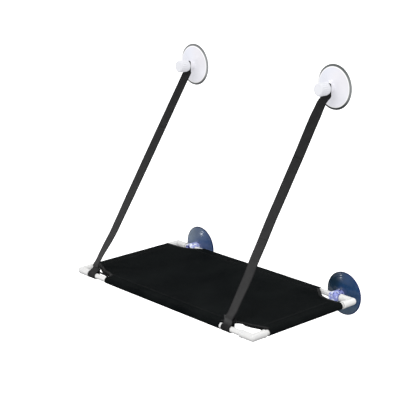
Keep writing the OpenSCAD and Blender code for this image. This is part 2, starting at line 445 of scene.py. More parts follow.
class Group(Sockets):
    """A shader node group with named inputs and outputs."""

    def __init__(self, name: str, inputs: Iterable[tuple[str, str, object]],
                 outputs: Iterable[tuple[str, str]]) -> None:
        """Starts the group.

        Args:
            name: The group's name.
            inputs: Name, socket type and starting value of each input.
            outputs: Name and socket type of each output.
        """
        tree = bpy.data.node_groups.new(name, "ShaderNodeTree")
        super().__init__(tree)
        for label, kind, value in inputs:
            made = tree.interface.new_socket(name=label, in_out="INPUT", socket_type=kind)
            if value is not None:
                made.default_value = value
        for label, kind in outputs:
            tree.interface.new_socket(name=label, in_out="OUTPUT", socket_type=kind)
        self.given = self.node("NodeGroupInput").outputs
        self.result = self.node("NodeGroupOutput").inputs


FLOAT, VECTOR = "NodeSocketFloat", "NodeSocketVector"


def plain_weave_group() -> bpy.types.NodeTree:
    """Threads that pass over and under each other.

    Returns:
        The group, which gives the height of the threads and how far a place lies in a gap.
    """
    g = Group("Plain weave", [("Flat", VECTOR, None), ("Threads", FLOAT, 1600.0),
                              ("Slub", FLOAT, 0.15)], [("Height", FLOAT), ("Gap", FLOAT)])
    parts = g.node("ShaderNodeSeparateXYZ")
    g.join(g.given["Flat"], parts.inputs[0])
    wander = g.math("MULTIPLY", g.noise(g.given["Flat"], 90.0), g.given["Slub"])
    across = g.math("ADD", g.math("MULTIPLY", parts.outputs[0], g.given["Threads"]), wander)
    up = g.math("ADD", g.math("MULTIPLY", parts.outputs[1], g.given["Threads"]), wander)
    warp = g.math("ABSOLUTE", g.math("SINE", g.math("MULTIPLY", across, math.pi)))
    weft = g.math("ABSOLUTE", g.math("SINE", g.math("MULTIPLY", up, math.pi)))
    cell = g.math("ADD", g.math("FLOOR", across), g.math("FLOOR", up))
    over = g.math("ABSOLUTE", g.math("MODULO", cell, 2.0))
    top = g.math("ADD", g.math("MULTIPLY", over, warp),
                 g.math("MULTIPLY", g.math("SUBTRACT", 1.0, over), weft))
    height = g.math("ADD", g.math("MULTIPLY", top, 0.7),
                    g.math("MULTIPLY", g.math("MULTIPLY", warp, weft), 0.3))
    g.join(height, g.result["Height"])
    g.join(g.ramp(height, 0.05, 0.5, 1.0, 0.0), g.result["Gap"])
    return g.tree


def webbing_group() -> bpy.types.NodeTree:
    """Slanting ribs of narrow woven tape, which turn back at its middle, and its plain edges.

    Returns:
        The group, which gives the height of the ribs, the grooves and the edge strips.
    """
    g = Group("Webbing ribs", [("Flat", VECTOR, None), ("Width", FLOAT, 0.026),
                               ("Ribs", FLOAT, 420.0), ("Slant", FLOAT, 2.2)],
              [("Height", FLOAT), ("Groove", FLOAT), ("Edge", FLOAT)])
    parts = g.node("ShaderNodeSeparateXYZ")
    g.join(g.given["Flat"], parts.inputs[0])
    share = g.math("DIVIDE", parts.outputs[0], g.given["Width"])
    fold = g.math("PINGPONG", g.math("MULTIPLY", share, 2.0), 1.0)
    wander = g.math("MULTIPLY", g.noise(g.given["Flat"], 160.0), 0.35)
    run = g.math("ADD", g.math("MULTIPLY", parts.outputs[1], g.given["Ribs"]),
                 g.math("ADD", g.math("MULTIPLY", fold, g.given["Slant"]), wander))
    rib = g.math("ABSOLUTE", g.math("SINE", g.math("MULTIPLY", run, math.pi)))
    cords = g.math("ABSOLUTE", g.math("SINE", g.math("MULTIPLY", share, 22.0 * math.pi)))
    height = g.math("ADD", g.math("MULTIPLY", rib, 0.65), g.math("MULTIPLY", cords, 0.35))
    out = g.math("ABSOLUTE", g.math("SUBTRACT", share, 0.5))
    g.join(height, g.result["Height"])
    g.join(g.ramp(height, 0.1, 0.55, 1.0, 0.0), g.result["Groove"])
    g.join(g.ramp(out, 0.36, 0.48), g.result["Edge"])
    return g.tree


def mottle_group() -> bpy.types.NodeTree:
    """Broad and fine unevenness that any of the materials shows.

    Returns:
        The group, which gives a broad value, a fine value and a height for a Bump node.
    """
    g = Group("Mottle", [("Place", VECTOR, None), ("Broad", FLOAT, 12.0),
                         ("Fine", FLOAT, 700.0)],
              [("Patches", FLOAT), ("Specks", FLOAT), ("Height", FLOAT)])
    broad = g.noise(g.given["Place"], g.given["Broad"], 3.0)
    fine = g.noise(g.given["Place"], g.given["Fine"], 2.0)
    g.join(g.ramp(broad, 0.3, 0.7), g.result["Patches"])
    g.join(g.ramp(fine, 0.55, 0.75), g.result["Specks"])
    g.join(g.math("ADD", g.math("MULTIPLY", broad, 0.7), g.math("MULTIPLY", fine, 0.3)),
           g.result["Height"])
    return g.tree


def scuff_group() -> bpy.types.NodeTree:
    """Fine scratches and rubbed patches of handled plastic.

    Returns:
        The group, which gives a mask of scratches and a mask of rubbed patches.
    """
    g = Group("Scuffs", [("Place", VECTOR, None), ("Length", FLOAT, 60.0),
                         ("Amount", FLOAT, 0.5)], [("Scratches", FLOAT), ("Rubbed", FLOAT)])
    stretch = g.node("ShaderNodeMapping")
    g.join(g.given["Place"], stretch.inputs["Vector"])
    stretch.inputs["Rotation"].default_value = (0.3, 0.5, 0.8)
    stretch.inputs["Scale"].default_value = (1.0, 14.0, 9.0)
    lines = g.noise(stretch.outputs["Vector"], g.given["Length"], 6.0, 0.7)
    rubbed = g.noise(g.given["Place"], 35.0, 5.0, 0.6)
    g.join(g.math("MULTIPLY", g.ramp(lines, 0.62, 0.72), g.given["Amount"]),
           g.result["Scratches"])
    g.join(g.math("MULTIPLY", g.ramp(rubbed, 0.5, 0.75), g.given["Amount"]),
           g.result["Rubbed"])
    return g.tree


_GROUPS: dict[str, bpy.types.NodeTree] = {}


def shared_group(maker: Callable[[], bpy.types.NodeTree]) -> bpy.types.NodeTree:
    """Finds the node group of a maker, which is built only once.

    Args:
        maker: The function that builds the group.

    Returns:
        The group.
    """
    if maker.__name__ not in _GROUPS:
        _GROUPS[maker.__name__] = maker()
    return _GROUPS[maker.__name__]


# Finishes


Colour = tuple[float, float, float, float]


def tint(red: float, green: float, blue: float) -> Colour:
    """A colour from its linear red, green and blue."""
    return (red, green, blue, 1.0)


@dataclass(frozen=True)
class Finish:
    """A material of the perch. Each kind below says how its nodes are laid."""

    name: str
    slot: str

    def material(self) -> bpy.types.Material:
        """Finds the Blender material, and makes it at its first use.

        Returns:
            The material.
        """
        found = bpy.data.materials.get(self.name)
        if found is None:
            found = bpy.data.materials.new(self.name)
            found.use_nodes = True
            found.node_tree.nodes.clear()
            tree = Sockets(found.node_tree)
            shader = tree.node("ShaderNodeBsdfPrincipled")
            out = tree.node("ShaderNodeOutputMaterial")
            tree.join(shader.outputs[0], out.inputs["Surface"])
            self.lay(tree, shader)
        return found

    def lay(self, tree: Sockets, shader: bpy.types.Node) -> None:
        """Lays the nodes that feed the shader."""
        raise NotImplementedError

    def place(self, tree: Sockets, maker: Callable[[], bpy.types.NodeTree],
              **values: object) -> bpy.types.Node:
        """Places a shared group in this material.

        Args:
            tree: The material's nodes.
            maker: The group's maker.
            values: Inputs of the group by name, with _ for a space.

        Returns:
            The group's node.
        """
        made = tree.node("ShaderNodeGroup")
        made.node_tree = shared_group(maker)
        for key, value in values.items():
            tree.feed(made.inputs[key.replace("_", " ")], value)
        return made

    def bump(self, tree: Sockets, shader: bpy.types.Node, height: object, depth: float,
             strength: float = 1.0) -> None:
        """Feeds the shader's normal from a height.

        Args:
            tree: The material's nodes.
            shader: The shader.
            height: The height, from 0 to 1.
            depth: The depth of the relief in millimetres.
            strength: How fully the relief shows.
        """
        made = tree.node("ShaderNodeBump")
        made.inputs["Distance"].default_value = depth * MM
        made.inputs["Strength"].default_value = strength
        tree.feed(made.inputs["Height"], height)
        tree.join(made.outputs[0], shader.inputs["Normal"])


def flat_place(tree: Sockets) -> bpy.types.NodeSocket:
    """The flat coordinates of a cloth or tape, in metres."""
    return tree.node("ShaderNodeUVMap", uv_map="flat").outputs[0]


def solid_place(tree: Sockets) -> bpy.types.NodeSocket:
    """The place in the object, in metres."""
    return tree.node("ShaderNodeTexCoord").outputs["Object"]


@dataclass(frozen=True)
class SlingCloth(Finish):
    """Black coated canvas with a fine plain weave, painted shade in its gaps, and a little lint and dust."""

    base: Colour = tint(0.0026, 0.0036, 0.0040)
    faded: Colour = tint(0.0082, 0.0098, 0.0100)
    dust: Colour = tint(0.0150, 0.0160, 0.0170)
    # gap: painted shade for the gaps between the threads
    gap: Colour = tint(0.0016, 0.0020, 0.0022)
    lint: float = 0.35
    threads: float = 1100.0

    def lay(self, tree: Sockets, shader: bpy.types.Node) -> None:
        """Weave, faded patches, lint, and painted shade in the gaps between the threads.

        Args:
            tree: The material's nodes.
            shader: The shader that they feed.
        """
        flat = flat_place(tree)
        weave = self.place(tree, plain_weave_group, Flat=flat, Threads=self.threads)
        mottle = self.place(tree, mottle_group, Place=flat, Broad=9.0, Fine=420.0)
        colour = tree.mix(mottle.outputs["Patches"], self.base, self.faded)
        lint = tree.math("MULTIPLY", mottle.outputs["Specks"], self.lint)
        colour = tree.mix(lint, colour, self.dust)
        # Painted shade: the gaps between the threads are darkened.
        colour = tree.mix(tree.math("MULTIPLY", weave.outputs["Gap"], 0.7), colour, self.gap)
        tree.join(colour, shader.inputs["Base Color"])
        tree.join(tree.ramp(mottle.outputs["Patches"], 0, 1, 0.72, 0.86),
                  shader.inputs["Roughness"])
        shader.inputs["Specular IOR Level"].default_value = 0.01
        height = tree.math("ADD", weave.outputs["Height"],
                           tree.math("MULTIPLY", mottle.outputs["Height"], 0.8))
        self.bump(tree, shader, height, 0.28, 0.7)


@dataclass(frozen=True)
class Webbing(Finish):
    """Narrow woven tape of the straps, with slanting ribs, painted shade in their grooves, darker edge
    strips, and painted light and shade along its run.
    """

    base: Colour = tint(0.0078, 0.0081, 0.0084)
    # Colour that the run turns to between the two places below: painted light on the strap's lower run,
    # painted shadow at the foot of a rail loop.
    painted_light_shade: Colour = tint(0.0385, 0.0380, 0.0385)
    # Dark colour of the edge strips, also painted as shade in the grooves between the ribs.
    edge: Colour = tint(0.004, 0.004, 0.005)
    width: float = 26.0
    ribs: float = 330.0
    painted_light_shade_from: float = 0.0
    painted_light_shade_to: float = 0.56

    def lay(self, tree: Sockets, shader: bpy.types.Node) -> None:
        """Ribs, painted shade in the grooves, darker edges, and painted light and shade along the run.

        Args:
            tree: The material's nodes.
            shader: The shader that they feed.
        """
        flat = flat_place(tree)
        ribs = self.place(tree, webbing_group, Flat=flat, Width=self.width * MM,
                          Ribs=self.ribs)
        mottle = self.place(tree, mottle_group, Place=flat, Broad=60.0, Fine=900.0)
        parts = tree.node("ShaderNodeSeparateXYZ")
        tree.join(flat, parts.inputs[0])
        # Painted light and shade along the run, with broad random patches of tone; no real wear is drawn
        # here.
        wear = tree.ramp(parts.outputs[1], self.painted_light_shade_from, self.painted_light_shade_to)
        wear = tree.math("ADD", tree.math("MULTIPLY", wear, 0.85),
                         tree.math("MULTIPLY", mottle.outputs["Patches"], 0.18))
        colour = tree.mix(wear, self.base, self.painted_light_shade)
        # Painted shade in the grooves between the ribs, then darker edge strips.
        colour = tree.mix(tree.math("MULTIPLY", ribs.outputs["Groove"], 0.6), colour,
                          self.edge)
        colour = tree.mix(tree.math("MULTIPLY", ribs.outputs["Edge"], 0.75), colour,
                          self.edge)
        tree.join(colour, shader.inputs["Base Color"])
        tree.join(tree.ramp(ribs.outputs["Groove"], 0, 1, 0.55, 0.85),
                  shader.inputs["Roughness"])
        shader.inputs["Sheen Weight"].default_value = 0.02
        shader.inputs["Sheen Roughness"].default_value = 0.4
        shader.inputs["Specular IOR Level"].default_value = 0.12
        height = tree.math("ADD", ribs.outputs["Height"],
                           tree.math("MULTIPLY", mottle.outputs["Height"], 0.6))
        self.bump(tree, shader, height, 0.35)


@dataclass(frozen=True)
class Tape(Finish):
    """Ribbed binding tape, and with finer ribs the sewing thread."""

    base: Colour = tint(0.0029, 0.0032, 0.0036)
    # Lighter colour, painted as light on the rib crests and also reached in random patches of uneven dye.
    high: Colour = tint(0.0070, 0.0073, 0.0077)
    ribs: float = 900.0

    def lay(self, tree: Sockets, shader: bpy.types.Node) -> None:
        """Cross ribs with painted light on their crests and painted shade between them, and uneven dye.

        Args:
            tree: The material's nodes.
            shader: The shader that they feed.
        """
        flat = flat_place(tree)
        parts = tree.node("ShaderNodeSeparateXYZ")
        tree.join(flat, parts.inputs[0])
        rib = tree.math("ABSOLUTE", tree.math("SINE", tree.math(
            "MULTIPLY", parts.outputs[1], self.ribs * math.pi)))
        mottle = self.place(tree, mottle_group, Place=flat, Broad=70.0, Fine=900.0)
        # Painted light and shade: lighter on the rib crests and darker between them, mixed with random
        # patches.
        share = tree.math("ADD", tree.math("MULTIPLY", rib, 0.6),
                          tree.math("MULTIPLY", mottle.outputs["Patches"], 0.4))
        tree.join(tree.mix(share, self.base, self.high), shader.inputs["Base Color"])
        tree.join(tree.ramp(rib, 0, 1, 0.8, 0.55), shader.inputs["Roughness"])
        shader.inputs["Sheen Weight"].default_value = 0.02
        shader.inputs["Specular IOR Level"].default_value = 0.1
        self.bump(tree, shader, rib, 0.2)


@dataclass(frozen=True)
class WhitePlastic(Finish):
    """Glossy white rigid plastic of the tubes, elbows and clamps."""

    base: Colour = tint(0.72, 0.72, 0.717)
    aged: Colour = tint(0.70, 0.697, 0.685)
    grime: Colour = tint(0.42, 0.41, 0.40)
    rough: float = 0.26
    grain: float = 0.05
    wear: float = 0.35
    painted_glow: float = 0.0

    def lay(self, tree: Sockets, shader: bpy.types.Node) -> None:
        """Faint ageing, scratches, a moulded skin and a painted glow.

        Args:
            tree: The material's nodes.
            shader: The shader that they feed.
        """
        place = solid_place(tree)
        mottle = self.place(tree, mottle_group, Place=place, Broad=22.0, Fine=1400.0)
        scuffs = self.place(tree, scuff_group, Place=place, Length=70.0, Amount=self.wear)
        colour = tree.mix(mottle.outputs["Patches"], self.base, self.aged)
        marks = tree.math("MULTIPLY", scuffs.outputs["Scratches"], 0.25)
        colour = tree.mix(marks, colour, self.grime)
        tree.join(colour, shader.inputs["Base Color"])
        # Painted glow: the plastic emits its own colour, which lightens it as if more light fell on it.
        tree.join(colour, shader.inputs["Emission Color"])
        shader.inputs["Emission Strength"].default_value = self.painted_glow
        rough = tree.ramp(scuffs.outputs["Rubbed"], 0, 1, self.rough, self.rough + 0.25)
        tree.join(rough, shader.inputs["Roughness"])
        shader.inputs["Coat Weight"].default_value = 0.15
        shader.inputs["Coat Roughness"].default_value = 0.12
        shader.inputs["Subsurface Weight"].default_value = 0.05
        shader.inputs["Subsurface Radius"].default_value = (0.002, 0.002, 0.002)
        self.bump(tree, shader, mottle.outputs["Height"], self.grain)


def cup_place_group() -> bpy.types.NodeTree:
    """Tells where a point lies on a suction cup.

    Returns:
        The group, which gives shares of the radius to the right and up from the cup's
        middle, the distance from the middle and from the glass, and a slow unevenness.
    """
    g = Group("Cup place", [("Place", VECTOR, None), ("Middle X", FLOAT, 0.0),
                            ("Middle Z", FLOAT, 0.0), ("Radius", FLOAT, 0.05)],
              [("Right", FLOAT), ("Up", FLOAT), ("Out", FLOAT), ("Depth", FLOAT),
               ("Cloud", FLOAT)])
    parts = g.node("ShaderNodeSeparateXYZ")
    g.join(g.given["Place"], parts.inputs[0])
    dx = g.math("DIVIDE", g.math("SUBTRACT", parts.outputs[0], g.given["Middle X"]),
                g.given["Radius"])
    dz = g.math("DIVIDE", g.math("SUBTRACT", parts.outputs[2], g.given["Middle Z"]),
                g.given["Radius"])
    out = g.math("SQRT", g.math("ADD", g.math("MULTIPLY", dx, dx),
                                g.math("MULTIPLY", dz, dz)))
    cloud = g.math("SUBTRACT", g.noise(g.given["Place"], 42.0, 3.0), 0.5)
    for name, value in (("Right", dx), ("Up", dz), ("Out", out), ("Cloud", cloud),
                        ("Depth", g.math("MULTIPLY", parts.outputs[1], -1.0))):
        g.join(value, g.result[name])
    return g.tree


@dataclass(frozen=True)
class CupVinyl(Finish):
    """What both kinds of suction cup share: soft glossy vinyl round a middle."""

    centre: tuple[float, float] = (0.0, 0.0)
    cup_r: float = 50.0
    rough: float = 0.12
    painted_glow: float = 0.0
    gloss: float = 0.3

    def lay(self, tree: Sockets, shader: bpy.types.Node) -> None:
        """Colour of the kind, a painted glow of that colour, faint ripples and a glossy skin.

        Args:
            tree: The material's nodes.
            shader: The shader that they feed.
        """
        place = solid_place(tree)
        at = self.place(tree, cup_place_group, Place=place, Middle_X=self.centre[0] * MM,
                        Middle_Z=self.centre[1] * MM, Radius=self.cup_r * MM).outputs
        mottle = self.place(tree, mottle_group, Place=place, Broad=30.0, Fine=500.0)
        colour = self.colour(tree, at, mottle.outputs)
        tree.join(colour, shader.inputs["Base Color"])
        # Painted glow: the vinyl emits its own colour, which lightens it as if lit through.
        tree.join(colour, shader.inputs["Emission Color"])
        shader.inputs["Emission Strength"].default_value = self.painted_glow
        tree.join(tree.ramp(mottle.outputs["Patches"], 0, 1, self.rough, self.rough + 0.08),
                  shader.inputs["Roughness"])
        shader.inputs["IOR"].default_value = 1.52
        shader.inputs["Specular IOR Level"].default_value = self.gloss
        shader.inputs["Coat Weight"].default_value = self.gloss * 0.6
        shader.inputs["Coat Roughness"].default_value = 0.06
        self.bump(tree, shader, mottle.outputs["Height"], 0.18)

    def colour(self, tree: Sockets, at: bpy.types.NodeOutputs,
               mottle: bpy.types.NodeOutputs) -> bpy.types.NodeSocket:
        """The colour's socket."""
        raise NotImplementedError


@dataclass(frozen=True)
class BlueVinyl(CupVinyl):
    """Deep blue vinyl with painted light and shade, darker at one side and paler low down, and a hub with
    painted highlights and painted dark reflections.
    """

    left: Colour = tint(0.010, 0.027, 0.050)
    right: Colour = tint(0.018, 0.060, 0.165)
    # Paler colour painted low down, where more light falls.
    low: Colour = tint(0.105, 0.155, 0.220)
    rim_left: Colour = tint(0.006, 0.013, 0.018)
    rim_right: Colour = tint(0.010, 0.026, 0.120)
    hub: Colour = tint(0.34, 0.38, 0.80)
    # Painted dark reflections and painted highlights on the hub.
    hub_painted_dark_reflection: Colour = tint(0.022, 0.024, 0.22)
    hub_painted_highlight: Colour = tint(0.74, 0.80, 1.0)
    gloss: float = 0.2

    def colour(self, tree: Sockets, at: bpy.types.NodeOutputs,
               mottle: bpy.types.NodeOutputs) -> bpy.types.NodeSocket:
        """Painted light and shade over the disc and its rim, random darker patches, and painted highlights
        and dark reflections on the hub.

        Args:
            tree: The material's nodes.
            at: Where a point lies on the cup.
            mottle: The unevenness of the vinyl.

        Returns:
            The colour's socket.
        """
        # Painted light and shade: the disc turns from its left colour to its right colour across it and
        # paler towards the bottom; the rim takes the same side shading.
        sway = tree.math("MULTIPLY", at["Cloud"], 1.3)
        across = tree.ramp(tree.math("ADD", at["Right"], sway), -0.75, 0.75)
        down = tree.ramp(tree.math("SUBTRACT", sway, at["Up"]), -0.35, 0.85)
        colour = tree.mix(across, self.left, self.right)
        colour = tree.mix(down, colour, self.low)
        colour = tree.mix(tree.math("MULTIPLY", mottle["Patches"], 0.3), colour,
                          self.rim_left)
        rim = tree.mix(across, self.rim_left, self.rim_right)
        colour = tree.mix(tree.ramp(at["Out"], 0.93, 0.975), colour, rim)
        # Painted highlights and painted dark reflections in patches on the hub.
        place = solid_place(tree)
        painted_highlight_mask = tree.ramp(tree.noise(place, 100.0, 1.5, 0.4), 0.49, 0.58)
        painted_dark = tree.ramp(tree.noise(place, 75.0, 2.0, 0.5), 0.54, 0.63)
        hub = tree.mix(painted_highlight_mask, self.hub, self.hub_painted_highlight)
        hub = tree.mix(painted_dark, hub, self.hub_painted_dark_reflection)
        return tree.mix(tree.ramp(at["Depth"], 0.0085, 0.0125), colour, hub)


@dataclass(frozen=True)
class PearlVinyl(CupVinyl):
    """Milky vinyl with a strong painted glow, painted lighter low down, and a clear lip that shows as a grey
    ring of painted shade and light.
    """

    body: Colour = tint(0.40, 0.41, 0.455)
    warm: Colour = tint(0.42, 0.41, 0.43)
    # Lighter colour painted low down, where more light falls.
    low: Colour = tint(0.475, 0.475, 0.505)
    patch: Colour = tint(0.37, 0.37, 0.395)
    band: Colour = tint(0.50, 0.50, 0.505)
    # Colours of the lip's grey ring, painted shade and light: this one at its bottom, the next at its top,
    # the pale one at its sides.
    line: Colour = tint(0.020, 0.023, 0.023)
    painted_lip_shade_top: Colour = tint(0.048, 0.053, 0.053)
    painted_lip_light_sides: Colour = tint(0.115, 0.121, 0.121)
    rough: float = 0.2
    painted_glow: float = 0.95

    def colour(self, tree: Sockets, at: bpy.types.NodeOutputs,
               mottle: bpy.types.NodeOutputs) -> bpy.types.NodeSocket:
        """A warm and a cool side, painted light low down, and the lip's white ring and its grey ring of
        painted shade and light.

        Args:
            tree: The material's nodes.
            at: Where a point lies on the cup.
            mottle: The unevenness of the vinyl.

        Returns:
            The colour's socket.
        """
        across = tree.ramp(tree.math("ADD", at["Right"], at["Cloud"]), -0.6, 0.6)
        colour = tree.mix(across, self.body, self.warm)
        # Painted light: lighter towards the bottom.
        down = tree.math("MULTIPLY", at["Up"], -1.0)
        colour = tree.mix(tree.ramp(down, -0.7, 0.7), colour, self.low)
        colour = tree.mix(tree.math("MULTIPLY", mottle["Patches"], 0.25), colour, self.patch)
        colour = tree.mix(tree.ramp(at["Out"], 0.845, 0.865), colour, self.band)
        # Painted shade and light on the lip's grey ring: darker at top and bottom, paler at the sides, and
        # left out at the far left.
        steep = tree.ramp(tree.math("ABSOLUTE", at["Up"]), 0.25, 0.85)
        painted_dark = tree.mix(tree.ramp(at["Up"], -0.3, 0.5), self.line, self.painted_lip_shade_top)
        ring = tree.mix(steep, self.painted_lip_light_sides, painted_dark)
        seen = tree.math("MULTIPLY", tree.ramp(at["Out"], 0.89, 0.91),
                         tree.ramp(at["Right"], -0.97, -0.72))
        return tree.mix(seen, colour, ring)


CLOTH = SlingCloth("sling_canvas", "sling_cloth")
WEB = Webbing("strap_webbing", "webbing")
# Lit and shaded copies of the webbing for the rail loops: a lighter base for their lit upper part, turning
# to painted shadow towards the foot of each loop.
LOOP_WEB = {
    Side.LEFT: Webbing("left_loop_webbing", "webbing", painted_light_shade_from=-0.05, painted_light_shade_to=0.06,
                       base=tint(0.033, 0.033, 0.034), painted_light_shade=tint(0.009, 0.009, 0.0095)),
    Side.RIGHT: Webbing("right_loop_webbing", "webbing", painted_light_shade_from=0.010, painted_light_shade_to=0.023,
                        base=tint(0.056, 0.056, 0.057), painted_light_shade=tint(0.002, 0.002, 0.0025)),
}
BINDING = Tape("edge_binding", "sling_cloth")
SEWING = Tape("sewing_thread", "sling_cloth", base=tint(0.007, 0.0075, 0.008),
              high=tint(0.020, 0.021, 0.022), ribs=2600.0)
STRAP_SEWING = Tape("strap_thread", "webbing", base=tint(0.020, 0.020, 0.021),
                    high=tint(0.050, 0.051, 0.053), ribs=2600.0)
TUBE = WhitePlastic("tube_plastic", "frame_plastic")
# Copies of the plastic with a painted glow that lightens the rear rail and the rear right elbow.
REAR_TUBE = replace(TUBE, name="rear_tube_plastic_painted_glow", painted_glow=0.09)
FITTING = WhitePlastic("elbow_plastic", "frame_plastic", base=tint(0.69, 0.69, 0.69),
                       rough=0.2, grain=0.08, wear=0.25)
PAINTED_GLOW_FITTING = replace(FITTING, name="painted_glow_elbow_plastic", painted_glow=0.16)
# The clamps' plastic has a strong painted glow that lightens the knobs, studs and washers.
CLAMP = WhitePlastic("clamp_plastic_white", "clamp_plastic", base=tint(0.38, 0.384, 0.405),
                     aged=tint(0.36, 0.36, 0.38), rough=0.24, grain=0.06, wear=0.15,
                     painted_glow=1.08)


# Frame


@dataclass
class TubeFrame:
    """The rails and elbows of the frame: CAD solids, dressed, with moulded collars."""

    collar_len: float = 5.0
    collar_proud: float = 0.55
    collar_steps: int = 48
    rails: tuple[str, ...] = ("front_rail", "rear_rail", "left_side_rail", "right_side_rail")

    def build(self) -> None:
        """Dresses the tubes and elbows, with a painted glow on the rear rail and the rear right elbow, and
        adds the elbows' moulded rims.
        """
        for name in self.rails:
            dress(name, REAR_TUBE if name == "rear_rail" else TUBE)
        for side in Side:
            for end in End:
                # The rear right elbow takes the copy with a painted glow.
                pale = side is Side.RIGHT and end is End.REAR
                finish = PAINTED_GLOW_FITTING if pale else FITTING
                dress(f"{end.value}_{side.value}_elbow", finish)
                self.rims(side, end, finish)

    def rims(self, side: Side, end: End, finish: WhitePlastic) -> None:
        """Adds the raised rim at the mouth of each leg of an elbow.

        Args:
            side: Left or right.
            end: Front or rear.
            finish: The elbow's own finish.
        """
        rail_y, towards = PLAN.rail(end)
        corner = Vector((side.sign * PLAN.side_x, rail_y, 0))
        inward = (Vector((-side.sign, 0, 0)), Vector((0, towards, 0)))
        draft = Draft()
        r, out = PLAN.elbow_r, self.collar_proud
        profile = [(-self.collar_len, -0.05), (-self.collar_len + 0.5, out * 0.8),
                   (-self.collar_len + 1.1, out), (-0.9, out), (-0.3, out * 0.75),
                   (0.0, 0.1), (0.0, -1.4)]
        for axis in inward:
            turned = lathe(draft, corner + axis * PLAN.elbow_leg, axis,
                           [(r + y, x) for x, y in profile], self.collar_steps)
            draft.bridge(turned, closed=True)
        piece = draft.build(f"{end.value}_{side.value}_elbow_rims", finish)
        place_on(piece, "platform")


def lathe(draft: Draft, origin: Point, axis: Point, profile: Sequence[Pair],
          steps: int) -> list[list[bmesh.types.BMVert]]:
    """Turns a profile round an axis.

    Args:
        draft: The mesh to draw in.
        origin: The point that heights count from.
        axis: Direction of the axis.
        profile: Radius and height of each point.
        steps: Number of steps round the axis.

    Returns:
        One closed row of vertices for each point of the profile.
    """
    side = axis.orthogonal().normalized()
    other = axis.cross(side).normalized()
    rows, run = [], 0.0
    for i, (radius, height) in enumerate(profile):
        if i:
            run += math.dist(profile[i - 1], profile[i])
        rows.append([draft.vert(
            origin + axis * height + (side * math.cos(a) + other * math.sin(a)) * radius,
            (run, a * radius)) for a in turns(steps)])
    return rows


def dress(node: str, finish: Finish) -> None:
    """Gives a CAD node that stays in view its finish.

    Args:
        node: The node's name.
        finish: What it is made of.
    """
    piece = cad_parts[node]
    piece.data.materials.clear()
    piece.data.materials.append(finish.material())


def place_on(piece: bpy.types.Object, body: str) -> None:
    """Lets a piece ride on a body."""
    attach(piece, body)


# Sling


@dataclass(frozen=True)
class Cut:
    """The cut corner of the cloth, in distances from the side rail and from the other rail.

    Points run from the front or rear rail to the side rail. Keys of hang say how far the
    bound edge drops below the cloth at a distance from the side rail. Where the under ply's
    own bound edge droops into view, lip gives its way and height.
    """

    points: tuple[Pair, ...]
    hang: tuple[Pair, ...] = ((0.0, 0.0),)
    lip: tuple[tuple[float, float, float], ...] = ()


CUTS = {
    (Side.LEFT, End.FRONT): Cut(
        ((100, 0), (98, 9), (90, 15.5), (75, 18.5), (60, 21), (45, 27), (30, 34), (15, 40.5),
         (0, 44)), hang=((5, 0.5), (28, 4.5), (50, 6.5), (76, 6.0), (90, 1.5), (98, 0.5)),
        lip=((20, 36.5, 7.0), (33.4, 27.5, 6.0), (40, 22, 4.5), (45.3, 18.5, 3.0),
             (51.4, 17, 2.0), (59.4, 16.9, 1.5), (68, 17.0, 1.5), (80, 14.5, 1.0),
             (93, 11.5, -1.0), (104, 10.5, -2.5))),
    (Side.RIGHT, End.FRONT): Cut(
        ((96, 0), (95.5, 8), (90, 14.5), (74, 21.5), (61, 25.5), (48, 29.5), (34, 33.5),
         (21, 38), (8, 41.5), (0, 42)), hang=((8, 2.0), (20, 4.0), (52, 3.4), (57, 0.2))),
    (Side.LEFT, End.REAR): Cut(
        ((99, 0), (88, 11), (75, 20), (63, 26), (45, 30.5), (26, 32.5), (10, 34), (0, 35))),
    (Side.RIGHT, End.REAR): Cut(
        ((98, 0), (88, 10), (75, 21), (63, 31), (52, 36.5), (40, 39.5), (24, 41), (10, 40.5),
         (0, 40))),
}


